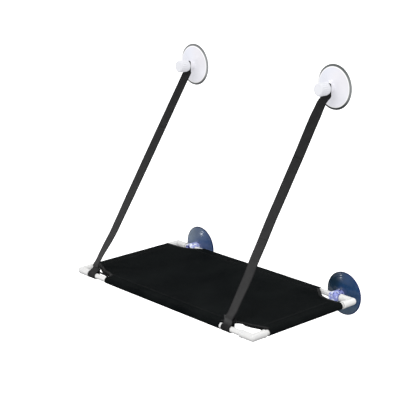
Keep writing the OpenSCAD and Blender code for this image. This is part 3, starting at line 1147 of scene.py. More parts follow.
@dataclass
class Sling:
    """The cloth of the perch: one sheet sewn round the four rails, with bound corner cuts."""

    thickness: float = 1.1
    turn_in: float = 47.0
    under_run: float = 30.0
    slack: float = 0.25
    sag: float = 7.0
    sag_from: float = 22.0
    sag_over: float = 105.0
    seam_in: float = 1.0
    seam_wide: float = 1.6
    seam_deep: float = 0.35
    pucker_turn: float = 0.55
    wrinkle: float = 0.9
    wrinkle_from: float = 12.0
    wrinkle_over: float = 30.0
    pull_rays: int = 15
    pull_far: float = 105.0
    pull_wide: float = 60.0
    rail_steps: int = 60
    side_steps: int = 30
    cut_steps: int = 4
    wrap_steps: int = 18
    rings: tuple[float, ...] = (0.0, 0.03, 0.07, 0.11, 0.145, 0.17, 0.2, 0.25, 0.32, 0.4,
                                0.5, 0.6, 0.7, 0.8, 0.9, 1.0)
    spine: float = 150.0
    spine_step: float = 10.0
    tape_w: float = 6.5
    lip_high: float = 2.4
    lip_thick: float = 1.1
    stitch_len: float = 3.4
    stitch_gap: float = 1.5
    stitch_r: float = 0.32
    seam_rows: tuple[float, float] = (1.0, 4.6)
    seam_stop: float = 9.0
    tape_seam: float = 1.6
    tape_lift: float = 0.62

    def corner(self, side: Side, end: End) -> list[Pair]:
        """The cut edge of a corner.

        Args:
            side: Left or right.
            end: Front or rear.

        Returns:
            Points in the plane, from the front or rear rail to the side rail.
        """
        local = smooth_line(CUTS[side, end].points, self.cut_steps)
        base_y, sign_y = PLAN.rail(end)
        return [(side.sign * (PLAN.side_x - x), base_y + sign_y * y) for x, y in local]

    def outline(self) -> list[Pair]:
        """The outline of the panel.

        Returns:
            Points in the plane, once round from the left end of the front rail.
        """
        fl, fr = self.corner(Side.LEFT, End.FRONT), self.corner(Side.RIGHT, End.FRONT)
        rl, rr = self.corner(Side.LEFT, End.REAR), self.corner(Side.RIGHT, End.REAR)
        points: list[Pair] = []
        for start, stop, steps, edge in ((fl[0], fr[0], self.rail_steps, fr),
                                         (fr[-1], rr[-1], self.side_steps, rr[::-1]),
                                         (rr[0], rl[0], self.rail_steps, rl),
                                         (rl[-1], fl[-1], self.side_steps, fl[::-1])):
            points += [(between(start[0], stop[0], i / steps),
                        between(start[1], stop[1], i / steps)) for i in range(steps)]
            points += edge[:-1]
        return points

    def height(self, x: float, y: float) -> float:
        """The sag, the wrinkles and the grooves of the panel.

        Args:
            x: Place along the window.
            y: Place from the glass.

        Returns:
            Height of the cloth's upper face there.
        """
        to_rail = min(PLAN.side_x - abs(x), y - PLAN.front_y, PLAN.rear_y - y)
        inner = ease((to_rail - self.sag_from) / self.sag_over)
        seam = math.exp(-((to_rail - PLAN.sleeve_w + self.seam_in) / self.seam_wide) ** 2)
        along = x if min(y - PLAN.front_y, PLAN.rear_y - y) < PLAN.side_x - abs(x) else y
        puckers = 0.5 + 0.5 * math.sin(along * self.pucker_turn)
        low = noise.noise(Vector((x * 0.012, y * 0.02, 0.3)))
        fine = noise.noise(Vector((x * 0.045, y * 0.06, 4.0)))
        pull = 0.0
        for cx, cy in ((-PLAN.side_x, PLAN.front_y), (PLAN.side_x, PLAN.front_y),
                       (-PLAN.side_x, PLAN.rear_y), (PLAN.side_x, PLAN.rear_y)):
            dx, dy = x - cx, y - cy
            far = math.hypot(dx, dy)
            near = math.exp(-((far - self.pull_far) / self.pull_wide) ** 2)
            pull += math.sin(math.atan2(dy, dx) * self.pull_rays) * near
        rise = ease((to_rail - self.wrinkle_from) / self.wrinkle_over) * self.wrinkle
        groove = self.seam_deep * seam * (0.6 + 0.4 * puckers)
        return PLAN.sheet_top - self.sag * inner - groove + \
            rise * (low + 0.35 * fine + 0.45 * pull)

    def build(self) -> None:
        draft = Draft()
        outline = self.outline()
        rows = []
        for ring in self.rings:
            row = []
            for x, y in outline:
                sx = round(max(-self.spine, min(self.spine, x)) / self.spine_step)
                px = between(x, sx * self.spine_step, ring)
                py = between(y, PLAN.middle_y, ring)
                z = self.height(px, py) if ring else PLAN.sheet_top
                row.append(draft.vert((px, py, z), (px, py)))
            rows.append(row)
        draft.bridge(rows, closed=True)
        for end in End:
            edges = [self.corner(side, end) for side in Side]
            self.sleeve(draft, *PLAN.rail(end), edges, by_y=True)
        for side in Side:
            edges = [self.corner(side, end) for end in End]
            self.sleeve(draft, side.sign * PLAN.side_x, -side.sign, edges, by_y=False)
        cloth = draft.build("sling_cloth_panel", CLOTH, weld=0.02)
        self.face_up(cloth)
        solid = cloth.modifiers.new("cloth", "SOLIDIFY")
        solid.thickness = self.thickness * MM
        solid.offset = -1
        solid.use_even_offset = False
        place_on(cloth, "platform")
        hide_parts("sling")
        extras = [self.binding(side, end) for side in Side for end in End]
        extras += [self.lip(side, end) for side, end in CUTS if CUTS[side, end].lip]
        extras.append(self.stitches())
        area = self.area()
        LOG.info("sling cut area %.4f square metres", area)

    def face_up(self, cloth: bpy.types.Object) -> None:
        """Turns all faces over if the middle of the panel faces down.

        Args:
            cloth: The sheet, before it gets its thickness.
        """
        total = sum(p.normal.z * p.area for p in cloth.data.polygons
                    if abs(p.center.x) < 0.12 and p.center.z > -0.001)
        if total < 0:
            cloth.data.flip_normals()

    def wrap(self) -> list[tuple[float, float, float]]:
        """The way of the cloth round a rail and back under the panel.

        Returns:
            Distance towards the panel, height and run from the top of the rail.
        """
        r, seam_z = PLAN.sleeve_r, PLAN.sheet_top - 2 * PLAN.cloth
        ply = PLAN.sheet_top
        leave = math.atan2(seam_z, PLAN.sleeve_w) - \
            math.acos(ply / math.hypot(PLAN.sleeve_w, seam_z))
        turn = 1.5 * math.pi + (leave + math.pi / 2)
        path = []
        for i in range(self.wrap_steps + 1):
            a = math.pi / 2 + (turn - math.pi / 2) * i / self.wrap_steps
            rr = ply if i == 0 else r
            path.append((rr * math.cos(a), rr * math.sin(a), r * (a - math.pi / 2)))
        last = path[-1]
        for share in (0.25, 0.5, 0.75, 0.93, 1.0):
            d, z = between(last[0], PLAN.sleeve_w, share), between(last[1], seam_z, share)
            path.append((d, z, last[2] + math.hypot(d - last[0], z - last[1])))
        return path

    def reach(self, edge: Sequence[Pair], by_y: bool, depth: float) -> float:
        """How far along a rail the cloth reaches at a depth from the rail's axis.

        Args:
            edge: The cut edge, from the front or rear rail to the side rail.
            by_y: True for a front or rear rail, and False for a side rail.
            depth: Distance from the rail's axis towards the panel.

        Returns:
            The place along the rail.
        """
        if by_y:
            base = edge[0]
            pairs = [(abs(y - base[1]), x) for x, y in edge]
        else:
            base = edge[-1]
            pairs = [(abs(x - base[0]), y) for x, y in edge[::-1]]
        if depth <= 0:
            return base[0] if by_y else base[1]
        for (d0, v0), (d1, v1) in zip(pairs, pairs[1:]):
            if d0 <= depth <= d1 and d1 > d0:
                return between(v0, v1, (depth - d0) / (d1 - d0))
        return pairs[-1][1]

    def sleeve(self, draft: Draft, rail: float, sign: int, edges: Sequence[list[Pair]],
               by_y: bool) -> None:
        """Draws the cloth round a rail.

        Args:
            draft: The mesh to draw in.
            rail: Place of the rail's axis.
            sign: Direction from the rail to the middle of the panel.
            edges: The cut edges at the two ends of the rail.
            by_y: True for the front or rear rail, and False for a side rail.
        """
        steps = self.rail_steps if by_y else self.side_steps
        rows = []
        for depth, z, run in self.wrap():
            under = depth if run > self.under_run else 0
            low, high = (self.reach(edge, by_y, under) for edge in edges)
            row = []
            for i in range(steps + 1):
                along = between(low, high, i / steps)
                sway = noise.noise(Vector((along * 0.05, run * 0.1, rail))) if run else 0
                away = Vector((depth, z)).normalized() * (self.slack * sway)
                place = (along, rail + sign * (depth + away.x))
                flat = (along, rail - sign * run)
                if not by_y:
                    place, flat = place[::-1], flat[::-1]
                row.append(draft.vert((*place, z + away.y), flat))
            rows.append(row)
        draft.bridge(rows)

    def area(self) -> float:
        """Adds up the flat panel and its four sleeves.

        Returns:
            Flat area of the cut in square metres.
        """
        points = self.outline()
        panel = abs(sum(a[0] * b[1] - b[0] * a[1] for a, b in
                        zip(points, points[1:] + points[:1]))) / 2
        run = self.wrap()[-1][2]
        rails = 2 * (PLAN.frame_w - PLAN.front_bare - PLAN.rear_bare) + \
            2 * (PLAN.frame_d - PLAN.side_bare_front - PLAN.side_bare_rear)
        return (panel + run * rails) * MM * MM

    @staticmethod
    def inward(at: Vector, ahead: Vector) -> Vector:
        """The direction in the plane from a cut edge into the panel."""
        side = Vector((-ahead.y, ahead.x))
        return -side if side.dot(Vector((-at.x, PLAN.middle_y - at.y))) < 0 else side

    def binding(self, side: Side, end: End) -> bpy.types.Object:
        """Folds a tape over the cut edge of a corner.

        Args:
            side: Left or right.
            end: Front or rear.

        Returns:
            The tape.
        """
        edge = [Vector(p) for p in self.corner(side, end)[2:]]
        hang = CUTS[side, end].hang
        draft, rows, run = Draft(), [], 0.0
        last = len(edge) - 1
        for i, at in enumerate(edge):
            if i:
                run += (at - edge[i - 1]).length
            ahead = (edge[min(last, i + 1)] - edge[max(0, i - 1)]).normalized()
            inward = self.inward(at, ahead)
            row = []
            for d, lift in ((self.tape_w, 0.1), (self.tape_w - 0.3, 0.55),
                            (self.tape_w * 0.5, 0.7), (0.8, 0.75), (-0.2, 0.45),
                            (-0.65, -0.1), (-0.7, -0.6), (-0.65, -1.2), (-0.2, -1.75),
                            (0.8, -2.0), (self.tape_w * 0.5, -1.95),
                            (self.tape_w - 0.3, -1.8), (self.tape_w, -1.4)):
                place = at + inward * d
                z = self.height(place.x, place.y) + lift
                if lift < 0:
                    z -= along_keys(hang, PLAN.side_x - abs(at.x)) * min(1.0, -lift / 1.2)
                row.append(draft.vert((place.x, place.y, z), (d, run)))
            rows.append(row)
        draft.tube(rows)
        piece = draft.build(f"sling_binding_{end.value}_{side.value}", BINDING)
        place_on(piece, "platform")
        return piece

    def lip(self, side: Side, end: End) -> bpy.types.Object:
        """Draws the bound edge of the sleeves' under ply, which droops at one corner.

        Args:
            side: Left or right.
            end: Front or rear.

        Returns:
            The bound edge.
        """
        base_y, sign_y = PLAN.rail(end)
        way = [Vector((side.sign * (PLAN.side_x - x), base_y + sign_y * y, z))
               for x, y, z in smooth_line(CUTS[side, end].lip, self.cut_steps)]
        draft, rows, run = Draft(), [], 0.0
        for i, at in enumerate(way):
            if i:
                run += (at - way[i - 1]).length
            ahead = (way[min(len(way) - 1, i + 1)] - way[max(0, i - 1)]).normalized()
            out = ahead.cross(Vector((0, 0, 1))).normalized()
            up = out.cross(ahead).normalized()
            rows.append([draft.vert(at + out * (self.lip_thick * math.cos(a)) +
                                    up * (self.lip_high * math.sin(a)),
                                    (self.lip_high * math.sin(a), run))
                         for a in turns(16)])
        draft.tube(rows)
        piece = draft.build(f"sling_lip_{end.value}_{side.value}", BINDING)
        place_on(piece, "platform")
        return piece

    def stitches(self) -> bpy.types.Object:
        """Sews two rows of thread along each sleeve's seam and one along each binding.

        Returns:
            The thread.
        """
        draft = Draft()
        stop = self.seam_stop
        for back in self.seam_rows:
            depth = PLAN.sleeve_w - back
            for end in End:
                rail, sign = PLAN.rail(end)
                y = rail + sign * depth
                low, high = (self.reach(self.corner(side, end), True, depth) for side in Side)
                self.thread(draft, (low + stop, y), (high - stop, y))
            for side in Side:
                x = side.sign * (PLAN.side_x - depth)
                low, high = (self.reach(self.corner(side, end), False, depth) for end in End)
                self.thread(draft, (x, low + stop), (x, high - stop))
        for side in Side:
            for end in End:
                edge = [Vector(p) for p in self.corner(side, end)[3:]]
                for a, b in zip(edge, edge[1:]):
                    ahead = (b - a).normalized()
                    shift = self.inward(a, ahead) * (self.tape_w - self.tape_seam)
                    self.thread(draft, tuple(a + shift), tuple(b + shift), self.tape_lift)
        piece = draft.build("sling_stitches", SEWING)
        place_on(piece, "platform")
        return piece

    def thread(self, draft: Draft, start: Pair, stop: Pair, lift: float = 0.0) -> None:
        """Sews a straight row of stitches on the panel's upper and lower face.

        Args:
            draft: The mesh to draw in.
            start: First point in the plane.
            stop: Last point in the plane.
            lift: Extra height over the panel's upper face.
        """
        a, b = Vector(start), Vector(stop)
        way = (b - a).normalized()
        pitch = self.stitch_len + self.stitch_gap
        count = max(1, int((b - a).length / pitch))
        for i in range(count):
            mid = a + way * ((i + 0.5) * pitch)
            p, q = mid - way * self.stitch_len / 2, mid + way * self.stitch_len / 2
            top_p = self.height(p.x, p.y) + lift
            top_q = self.height(q.x, q.y) + lift
            stitch(draft, Vector((p.x, p.y, top_p)), Vector((q.x, q.y, top_q)),
                   Vector((0, 0, 1)), self.stitch_r)
            under = 2 * lift + (2 * PLAN.cloth if not lift else PLAN.cloth)
            stitch(draft, Vector((p.x, p.y, top_p - under)),
                   Vector((q.x, q.y, top_q - under)), Vector((0, 0, -1)), self.stitch_r)


def stitch(draft: Draft, start: Point, stop: Point, up: Point, radius: float) -> None:
    """Draws one stitch as a low arch of thread.

    Args:
        draft: The mesh to draw in.
        start: Where the thread comes out.
        stop: Where it goes back in.
        up: Direction out of the cloth.
        radius: Radius of the thread.
    """
    way = (stop - start).normalized()
    side = way.cross(up).normalized()
    rows = []
    for t, rise, thick in ((0.0, -0.5, 0.55), (0.14, 0.45, 0.95), (0.5, 0.8, 1.0),
                           (0.86, 0.45, 0.95), (1.0, -0.5, 0.55)):
        mid = start.lerp(stop, t) + up * (rise * radius)
        rows.append([draft.vert(mid + (side * math.cos(a) + up * math.sin(a)) *
                                radius * thick, (a, t * (stop - start).length))
                     for a in turns(6)])
    draft.tube(rows)


# Straps


@dataclass
class Station:
    """One cross-section of a tape: its middle, its width and face directions, and its run."""

    middle: Point
    across: Point
    face: Point
    run: float
    width: float = 26.0
    thick: float = 1.5


TAPE_SHARES = (0.0, 0.1, 0.25, 0.4, 0.5, 0.6, 0.75, 0.9, 1.0)


def tape(draft: Draft, stations: Sequence[Station]) -> None:
    """Draws a tape with rounded edges and closed ends through its stations.

    Args:
        draft: The mesh to draw in.
        stations: Cross-sections in order.
    """
    rows = []
    for s in stations:
        half, t = s.width / 2, s.thick / 2
        front = [(between(-half + t, half - t, u), t * (0.94 + 0.06 * abs(2 * u - 1)))
                 for u in TAPE_SHARES]
        edge = [(half - t * 0.35, t * 0.75), (half, 0.0), (half - t * 0.35, -t * 0.75)]
        ring = front + edge + [(x, -y) for x, y in reversed(front)]
        ring += [(-x, -y) for x, y in edge]
        rows.append([draft.vert(s.middle + s.across * x + s.face * y,
                                (x + s.width / 2, s.run)) for x, y in ring])
    draft.tube(rows)


@dataclass
class Strap:
    """One strap: its clamped tab, its run in three lengths and its loop round the rail."""

    side: Side
    shift_keys: tuple[Pair, ...]
    twist_keys: tuple[Pair, ...]
    loop_slide: float
    ply_shift: float
    step: float = 6.0
    lap: float = 5.0
    lap_run: float = 14.0
    lap_lift: float = 2.35
    bend_run: float = 9.0
    hole_r: float = 4.5
    tab_round: float = 4.0
    tab_step: float = 1.6
    tab_start: float = 1.4
    loop_clear: float = 0.4
    loop_meet: float = 16.0
    loop_low: float = 8.0
    loop_steps: int = 28
    bar_backs: tuple[float, ...] = (2.2, 5.0, 17.0)
    row_backs: tuple[float, ...] = (6.2, 9.8, 13.4)
    thread_lift: float = 0.8
    thread_r: float = 0.36

    @property
    def x(self) -> float:
        """Place of the strap along the window."""
        return PLAN.strap_x[0 if self.side is Side.LEFT else 1]

    def station(self, run: float) -> Station:
        """The cross-section of the strap at one place.

        Args:
            run: Distance from the top of the sloping run. On the tab it is negative.

        Returns:
            The cross-section.
        """
        down, plumb_face = PLAN.strap_down, Vector((0, -1, 0))
        if run < 0:
            middle = PLAN.strap_top + Vector((self.x, 0, -run))
            return Station(middle, Vector((1, 0, 0)), plumb_face, run)
        share = run / PLAN.strap_len
        face = plumb_face.lerp(PLAN.strap_face, ease(run / self.bend_run)).normalized()
        lap_start = PLAN.strap_len - PLAN.loop_len - self.lap_run
        lap = ease((run - lap_start) / self.lap_run)
        middle = PLAN.strap_top + down * run + PLAN.strap_face * (self.lap_lift * lap)
        middle += Vector((self.x + along_keys(self.shift_keys, share), 0, 0))
        twist = math.radians(along_keys(self.twist_keys, share))
        turned = Matrix.Rotation(twist, 3, down)
        return Station(middle, turned @ Vector((1, 0, 0)), turned @ face, run)

    def length(self, name: str, start: float, stop: float,
               finer: Sequence[float] = ()) -> bpy.types.Object:
        """Makes one length of the strap.

        Args:
            name: The piece's name.
            start: Where it starts on the run.
            stop: Where it ends.
            finer: Places on the run that get closer cross-sections.

        Returns:
            The piece.
        """
        count = max(2, round((stop - start) / self.step))
        runs = {between(start, stop, i / count) for i in range(count + 1)}
        for place in finer:
            runs |= {place + d for d in (-9, -6, -4, -2, -1, 0, 1, 2, 4, 6, 9)
                     if start < place + d < stop}
        draft = Draft()
        tape(draft, [self.station(r) for r in sorted(runs)])
        return draft.build(name, WEB)

    def build(self) -> None:
        """Makes all pieces of the strap and hangs them on their bodies."""
        side = self.side.value
        upper = PLAN.strap_len * PLAN.upper_part_share
        lower = upper + PLAN.fold_len
        end = PLAN.strap_len - PLAN.loop_len + self.lap
        cut_1, cut_2 = upper * 0.45, upper + PLAN.fold_len / 2

        top = self.length(f"{side}_strap_top_run", -1.5, cut_1, (0,))
        self.cross(top, "mounting", f"{side}_strap_upper", -1, 12)
        middle = self.length(f"{side}_strap_middle_run", cut_1, cut_2, (upper,))
        self.cross(middle, f"{side}_strap_upper", f"{side}_strap_fold", upper - 6,
                   upper + 4)
        foot = self.length(f"{side}_strap_lower_run", cut_2, end, (lower, end - 4))
        self.cross(foot, f"{side}_strap_fold", f"{side}_strap_lower", lower - 4, lower + 6)
        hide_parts(f"{side}_strap_upper")
        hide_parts(f"{side}_strap_fold")
        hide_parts(f"{side}_strap_lower")
        self.tab()
        self.loop()
        self.sewing(end)

    def cross(self, piece: bpy.types.Object, above: str, below: str, start: float,
              stop: float) -> None:
        """Lets a length bend between two bodies over a part of its run.

        Args:
            piece: The length.
            above: The body that its top follows.
            below: The body that its foot follows.
            start: Where the bend starts on the run.
            stop: Where it ends.
        """
        base = PLAN.strap_top + Vector((self.x, 0, 0))
        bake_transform(piece, above, below, start=(base + PLAN.strap_down * start) * MM,
                 end=(base + PLAN.strap_down * stop) * MM)

    def tab(self) -> None:
        """The flat end of the strap, with a punched hole and rounded corners."""
        draft = Draft()
        half, t, r, zc = PLAN.strap_w / 2, PLAN.strap_t / 2, self.tab_round, PLAN.upper_cup_z
        low, high = zc - PLAN.tab_drop + self.tab_start, zc + PLAN.tab_rise
        outline = [(-half, low), (half, low)]
        for cx, start in ((half - r, 0.0), (-half + r, math.pi / 2)):
            outline += [(cx + r * math.cos(start + a), high - r + r * math.sin(start + a))
                        for a in (math.pi / 2 * k / 6 for k in range(7))]
        dense: list[Pair] = []
        for a, b in zip(outline, outline[1:] + outline[:1]):
            count = max(1, round(math.dist(a, b) / self.tab_step))
            dense += [(between(a[0], b[0], i / count), between(a[1], b[1], i / count))
                      for i in range(count)]
        rows = []
        shells = ((self.hole_r, -t * 0.8), (self.hole_r + 0.3, -t), (None, -t), (-0.35, -t),
                  (0.0, -t * 0.5), (0.0, t * 0.5), (-0.35, t), (None, t),
                  (self.hole_r + 0.3, t), (self.hole_r, t * 0.8))
        for radius, depth in shells:
            row = []
            for x, z in dense:
                far = math.hypot(x, z - zc)
                if radius is None:
                    reach = (far + self.hole_r) / 2
                elif radius > 1:
                    reach = radius
                else:
                    reach = far + radius
                px, pz = x / far * reach, zc + (z - zc) / far * reach
                row.append(draft.vert((self.x + px, -PLAN.strap_plane + depth, pz),
                                      (px + half, high - pz)))
            rows.append(row)
        rows.append(rows[0])
        draft.bridge(rows, closed=True)
        piece = draft.build(f"{self.side.value}_strap_clamped_tab", WEB)
        place_on(piece, "mounting")
        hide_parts(f"{self.side.value}_strap_tab")

    def loop(self) -> None:
        """The end of the tape, taken round the front rail and sewn to the strap."""
        axis = Vector((self.x, PLAN.front_y, 0))
        up, face, right = -PLAN.strap_down, PLAN.strap_face, Vector((1, 0, 0))
        half, meet, low = PLAN.strap_t / 2, self.loop_meet, self.loop_low
        radius, tip = PLAN.tube_r + self.loop_clear + half, PLAN.loop_len - 0.4
        part = math.atan2(half, meet) + math.acos(radius / math.hypot(meet, half))
        ply: list[Pair] = []
        for a in (tip, tip - 1.5, tip - 4, meet + 1.5, meet - 1, meet - 4, low):
            reach = max(0.0, (meet - a) / (meet - radius * math.cos(part)))
            ply.append((a, half + 0.05 if a >= meet else
                        between(half, radius * math.sin(part), reach)))
        way = list(ply)
        for i in range(self.loop_steps + 1):
            turn = between(part, 2 * math.pi - part, i / self.loop_steps)
            way.append((radius * math.cos(turn), radius * math.sin(turn)))
        way += [(a, -b) for a, b in reversed(ply)]
        stations, run = [], 0.0
        points = [up * a + face * b for a, b in way]
        for i, p in enumerate(points):
            if i:
                run += (p - points[i - 1]).length
            ahead = (points[min(len(points) - 1, i + 1)] - points[max(0, i - 1)]).normalized()
            out = right.cross(ahead).normalized()
            rise = (way[i][0] - low) / (tip - low) if i < len(ply) else 0.0
            slide = self.loop_slide + self.ply_shift * rise
            stations.append(Station(axis + p + right * slide, right, -out, run))
        draft = Draft()
        tape(draft, stations)
        finish = LOOP_WEB[self.side]
        piece = draft.build(f"{self.side.value}_strap_rail_loop", finish)
        place_on(piece, f"{self.side.value}_rail_loop")
        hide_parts(f"{self.side.value}_rail_loop")

    def sewing(self, end: float) -> None:
        """Sews bars of thread across the lap over the loop, and two rows along it.

        Args:
            end: Where the strap ends on its run.
        """
        draft, lift, thread = Draft(), self.thread_lift, self.thread_r
        for back in self.bar_backs:
            s = self.station(end - back)
            for k in range(6):
                x0 = between(-s.width / 2 + 2.4, s.width / 2 - 5.2, k / 5)
                stitch(draft, s.middle + s.across * x0 + s.face * lift,
                       s.middle + s.across * (x0 + 2.8) + s.face * lift, s.face, thread)
        for edge in (-1, 1):
            for back in self.row_backs:
                a, b = self.station(end - back), self.station(end - back - 3.0)
                x0 = edge * (a.width / 2 - 2.6)
                stitch(draft, a.middle + a.across * x0 + a.face * lift,
                       b.middle + b.across * x0 + b.face * lift, a.face, thread)
        piece = draft.build(f"{self.side.value}_strap_sewing", STRAP_SEWING)
        place_on(piece, f"{self.side.value}_strap_lower")


# Suction cups


class Role(Enum):
    """What a suction cup carries."""

    RAIL = "lower"
    STRAP = "upper"


@dataclass
class SuctionCup:
    """A suction cup: a thin domed disc with a lip, a neck and, on the lower ones, a hub."""

    role: Role
    side: Side
    cup_r: float = 50.0
    rise: float = 9.5
    lip: float = 1.2
    seal: float = 7.0
    hollow: float = 3.0
    neck_r: float = 10.0
    slope: float = 1.6
    ridge_high: float = 0.35
    ridge_at: float = 0.84
    ridge_wide: float = 0.9
    hub_r: float = 13.0
    hub_back: float = 13.3
    hub_front: float = 40.65
    hub_round: float = 3.4
    bore_r: float = 6.45
    bore_len: float = 60.0
    stud_r: float = 4.05
    steps: int = 96
    bore_steps: int = 64
    hollow_steps: int = 16
    back_steps: int = 24
    round_steps: int = 7

    @property
    def centre(self) -> Pair:
        """The middle of the cup.

        Returns:
            Its place along the window and its height.
        """
        k = 0 if self.side is Side.LEFT else 1
        if self.role is Role.RAIL:
            return (PLAN.lower_cup_x[k], 0.0)
        return (PLAN.strap_x[k], PLAN.upper_cup_z)

    def finish(self) -> CupVinyl:
        """The cup's vinyl: deep blue below, and milky with a grey lip above; the left cups get copies with
        their own painted light and shade.

        Returns:
            The finish of this cup.
        """
        name = f"{self.role.value}_{self.side.value}_cup_vinyl"
        if self.role is Role.STRAP and self.side is Side.RIGHT:
            return PearlVinyl(name, "pearl_vinyl", centre=self.centre)
        if self.role is Role.STRAP:
            # The upper left cup's lip ring is painted lighter.
            return PearlVinyl(name, "pearl_vinyl", centre=self.centre,
                              line=tint(0.062, 0.064, 0.066),
                              painted_lip_shade_top=tint(0.085, 0.088, 0.090),
                              painted_lip_light_sides=tint(0.150, 0.154, 0.158))
        if self.side is Side.RIGHT:
            return BlueVinyl(name, "blue_vinyl", centre=self.centre)
        # The lower left cup is painted lighter at its left and darker at its right, with a paler hub.
        return BlueVinyl(name, "blue_vinyl", centre=self.centre,
                         left=tint(0.13, 0.18, 0.255), right=tint(0.045, 0.085, 0.20),
                         low=tint(0.13, 0.18, 0.40), rim_left=tint(0.045, 0.050, 0.065),
                         rim_right=tint(0.012, 0.022, 0.085),
                         hub=tint(0.46, 0.50, 0.88), hub_painted_highlight=tint(0.86, 0.91, 1.0))

    def back_profile(self) -> list[Pair]:
        """The cup's back, from the lip to the neck.

        Returns:
            Radius and height of each point.
        """
        points = [(self.cup_r - 0.15, 0.15), (self.cup_r, 0.5),
                  (self.cup_r - 0.1, self.lip - 0.2), (self.cup_r - 0.6, self.lip + 0.05)]
        for i in range(2, self.back_steps + 1):
            s = i / self.back_steps
            radius = between(self.cup_r, self.neck_r, s)
            lift = self.lip + (self.rise - self.lip) * (1 - (1 - s) ** self.slope)
            off_ridge = (radius - self.cup_r * self.ridge_at) / self.ridge_wide
            points.append((radius, lift + self.ridge_high * math.exp(-off_ridge ** 2)))
        return points

    def hub_profile(self) -> list[Pair]:
        """The hub that holds the rear rail.

        Returns:
            Radius and height of each point.
        """
        h, b, f, r = self.hub_r, self.hub_back, self.hub_front, self.hub_round
        points = [(self.neck_r + 0.1, self.rise + 1.2), (self.neck_r + 0.4, b - 1.4),
                  (self.neck_r + 1.4, b - 0.4), (h - 0.8, b), (h, b + 1.0), (h, f - 3.6)]
        for k in range(1, self.round_steps + 1):
            a = math.pi / 2 * k / self.round_steps
            points.append((h - r + r * math.cos(a), f - r + r * math.sin(a)))
        return points + [(h - 4.6, f - 0.1), (h - 5.4, f - 0.9), (h - 6.2, f - 1.2),
                         (0.0, f - 1.2)]

    def neck_profile(self) -> list[Pair]:
        """The neck that a strap is clamped on.

        Returns:
            Radius and height of each point.
        """
        r, n, s = self.neck_r, PLAN.neck_end, self.stud_r
        return [(r, self.rise + 1.5), (r, n - 0.8), (r - 0.3, n - 0.15), (r - 0.9, n),
                (s + 0.15, n), (s, n - 0.3), (s, n - 3.0)]

    def build(self) -> None:
        """Makes the cup and puts it on the glass."""
        draft = Draft()
        x, z = self.centre
        profile = [(0.0, self.hollow)]
        for i in range(1, self.hollow_steps + 1):
            s = i / self.hollow_steps
            profile.append(((self.cup_r - self.seal) * s, self.hollow * (1 - s * s)))
        profile += self.back_profile()
        profile += self.hub_profile() if self.role is Role.RAIL else self.neck_profile()
        rows = lathe(draft, Vector((x, 0, z)), Vector((0, -1, 0)), profile, self.steps)
        draft.bridge(rows, closed=True)
        name = f"{self.role.value}_{self.side.value}_cup"
        finish = self.finish()
        piece = draft.build(f"{name}_vinyl", finish, weld=0.01)
        if self.role is Role.RAIL:
            self.bore(piece)
        place_on(piece, "mounting")
        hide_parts(name)

    def bore(self, piece: bpy.types.Object) -> None:
        """Cuts the bore that the rear rail turns in.

        Args:
            piece: The cup.
        """
        draft = Draft()
        x, z = self.centre
        start = Vector((x - self.bore_len / 2, PLAN.rear_y, z))
        rows = lathe(draft, start, Vector((1, 0, 0)),
                     [(self.bore_r, 0), (self.bore_r, self.bore_len)], self.bore_steps)
        draft.tube(rows)
        drill = draft.build("drill", CLAMP)
        cut = piece.modifiers.new("bore", "BOOLEAN")
        cut.object = drill
        cut.operation = "DIFFERENCE"
        cut.solver = "EXACT"
        bpy.context.view_layer.update()
        apply_modifiers(piece)
        bpy.data.objects.remove(drill)


@dataclass
class Clamps:
    """The studs, washers and knobs that hold the straps: CAD solids with a better finish, white plastic with
    a strong painted glow.
    """

    parts: tuple[str, ...] = ("stud", "washer", "knob")

    def build(self) -> None:
        """Dresses the clamps of both straps."""
        for side in Side:
            for part in self.parts:
                dress(f"{side.value}_{part}", CLAMP)


# Studio


@dataclass(frozen=True)
class Lamp:
    """A soft square light: its place and width in metres and its power in watts.

    Glossy surfaces show it if it is mirrored.
    """

    name: str
    at: tuple[float, float, float]
    size: float
    watts: float
    mirrored: bool = True


LAMPS = (
    Lamp("key", (1.0, -2.0, 2.6), 1.6, 30.0),
    Lamp("spark", (-1.75, -2.0, 0.25), 0.2, 4.5),
    Lamp("rear", (0.6, 2.2, 2.0), 1.8, 12.0),
    Lamp("low_fill", (1.6, -1.9, -0.45), 1.4, 10.0, mirrored=False),
)


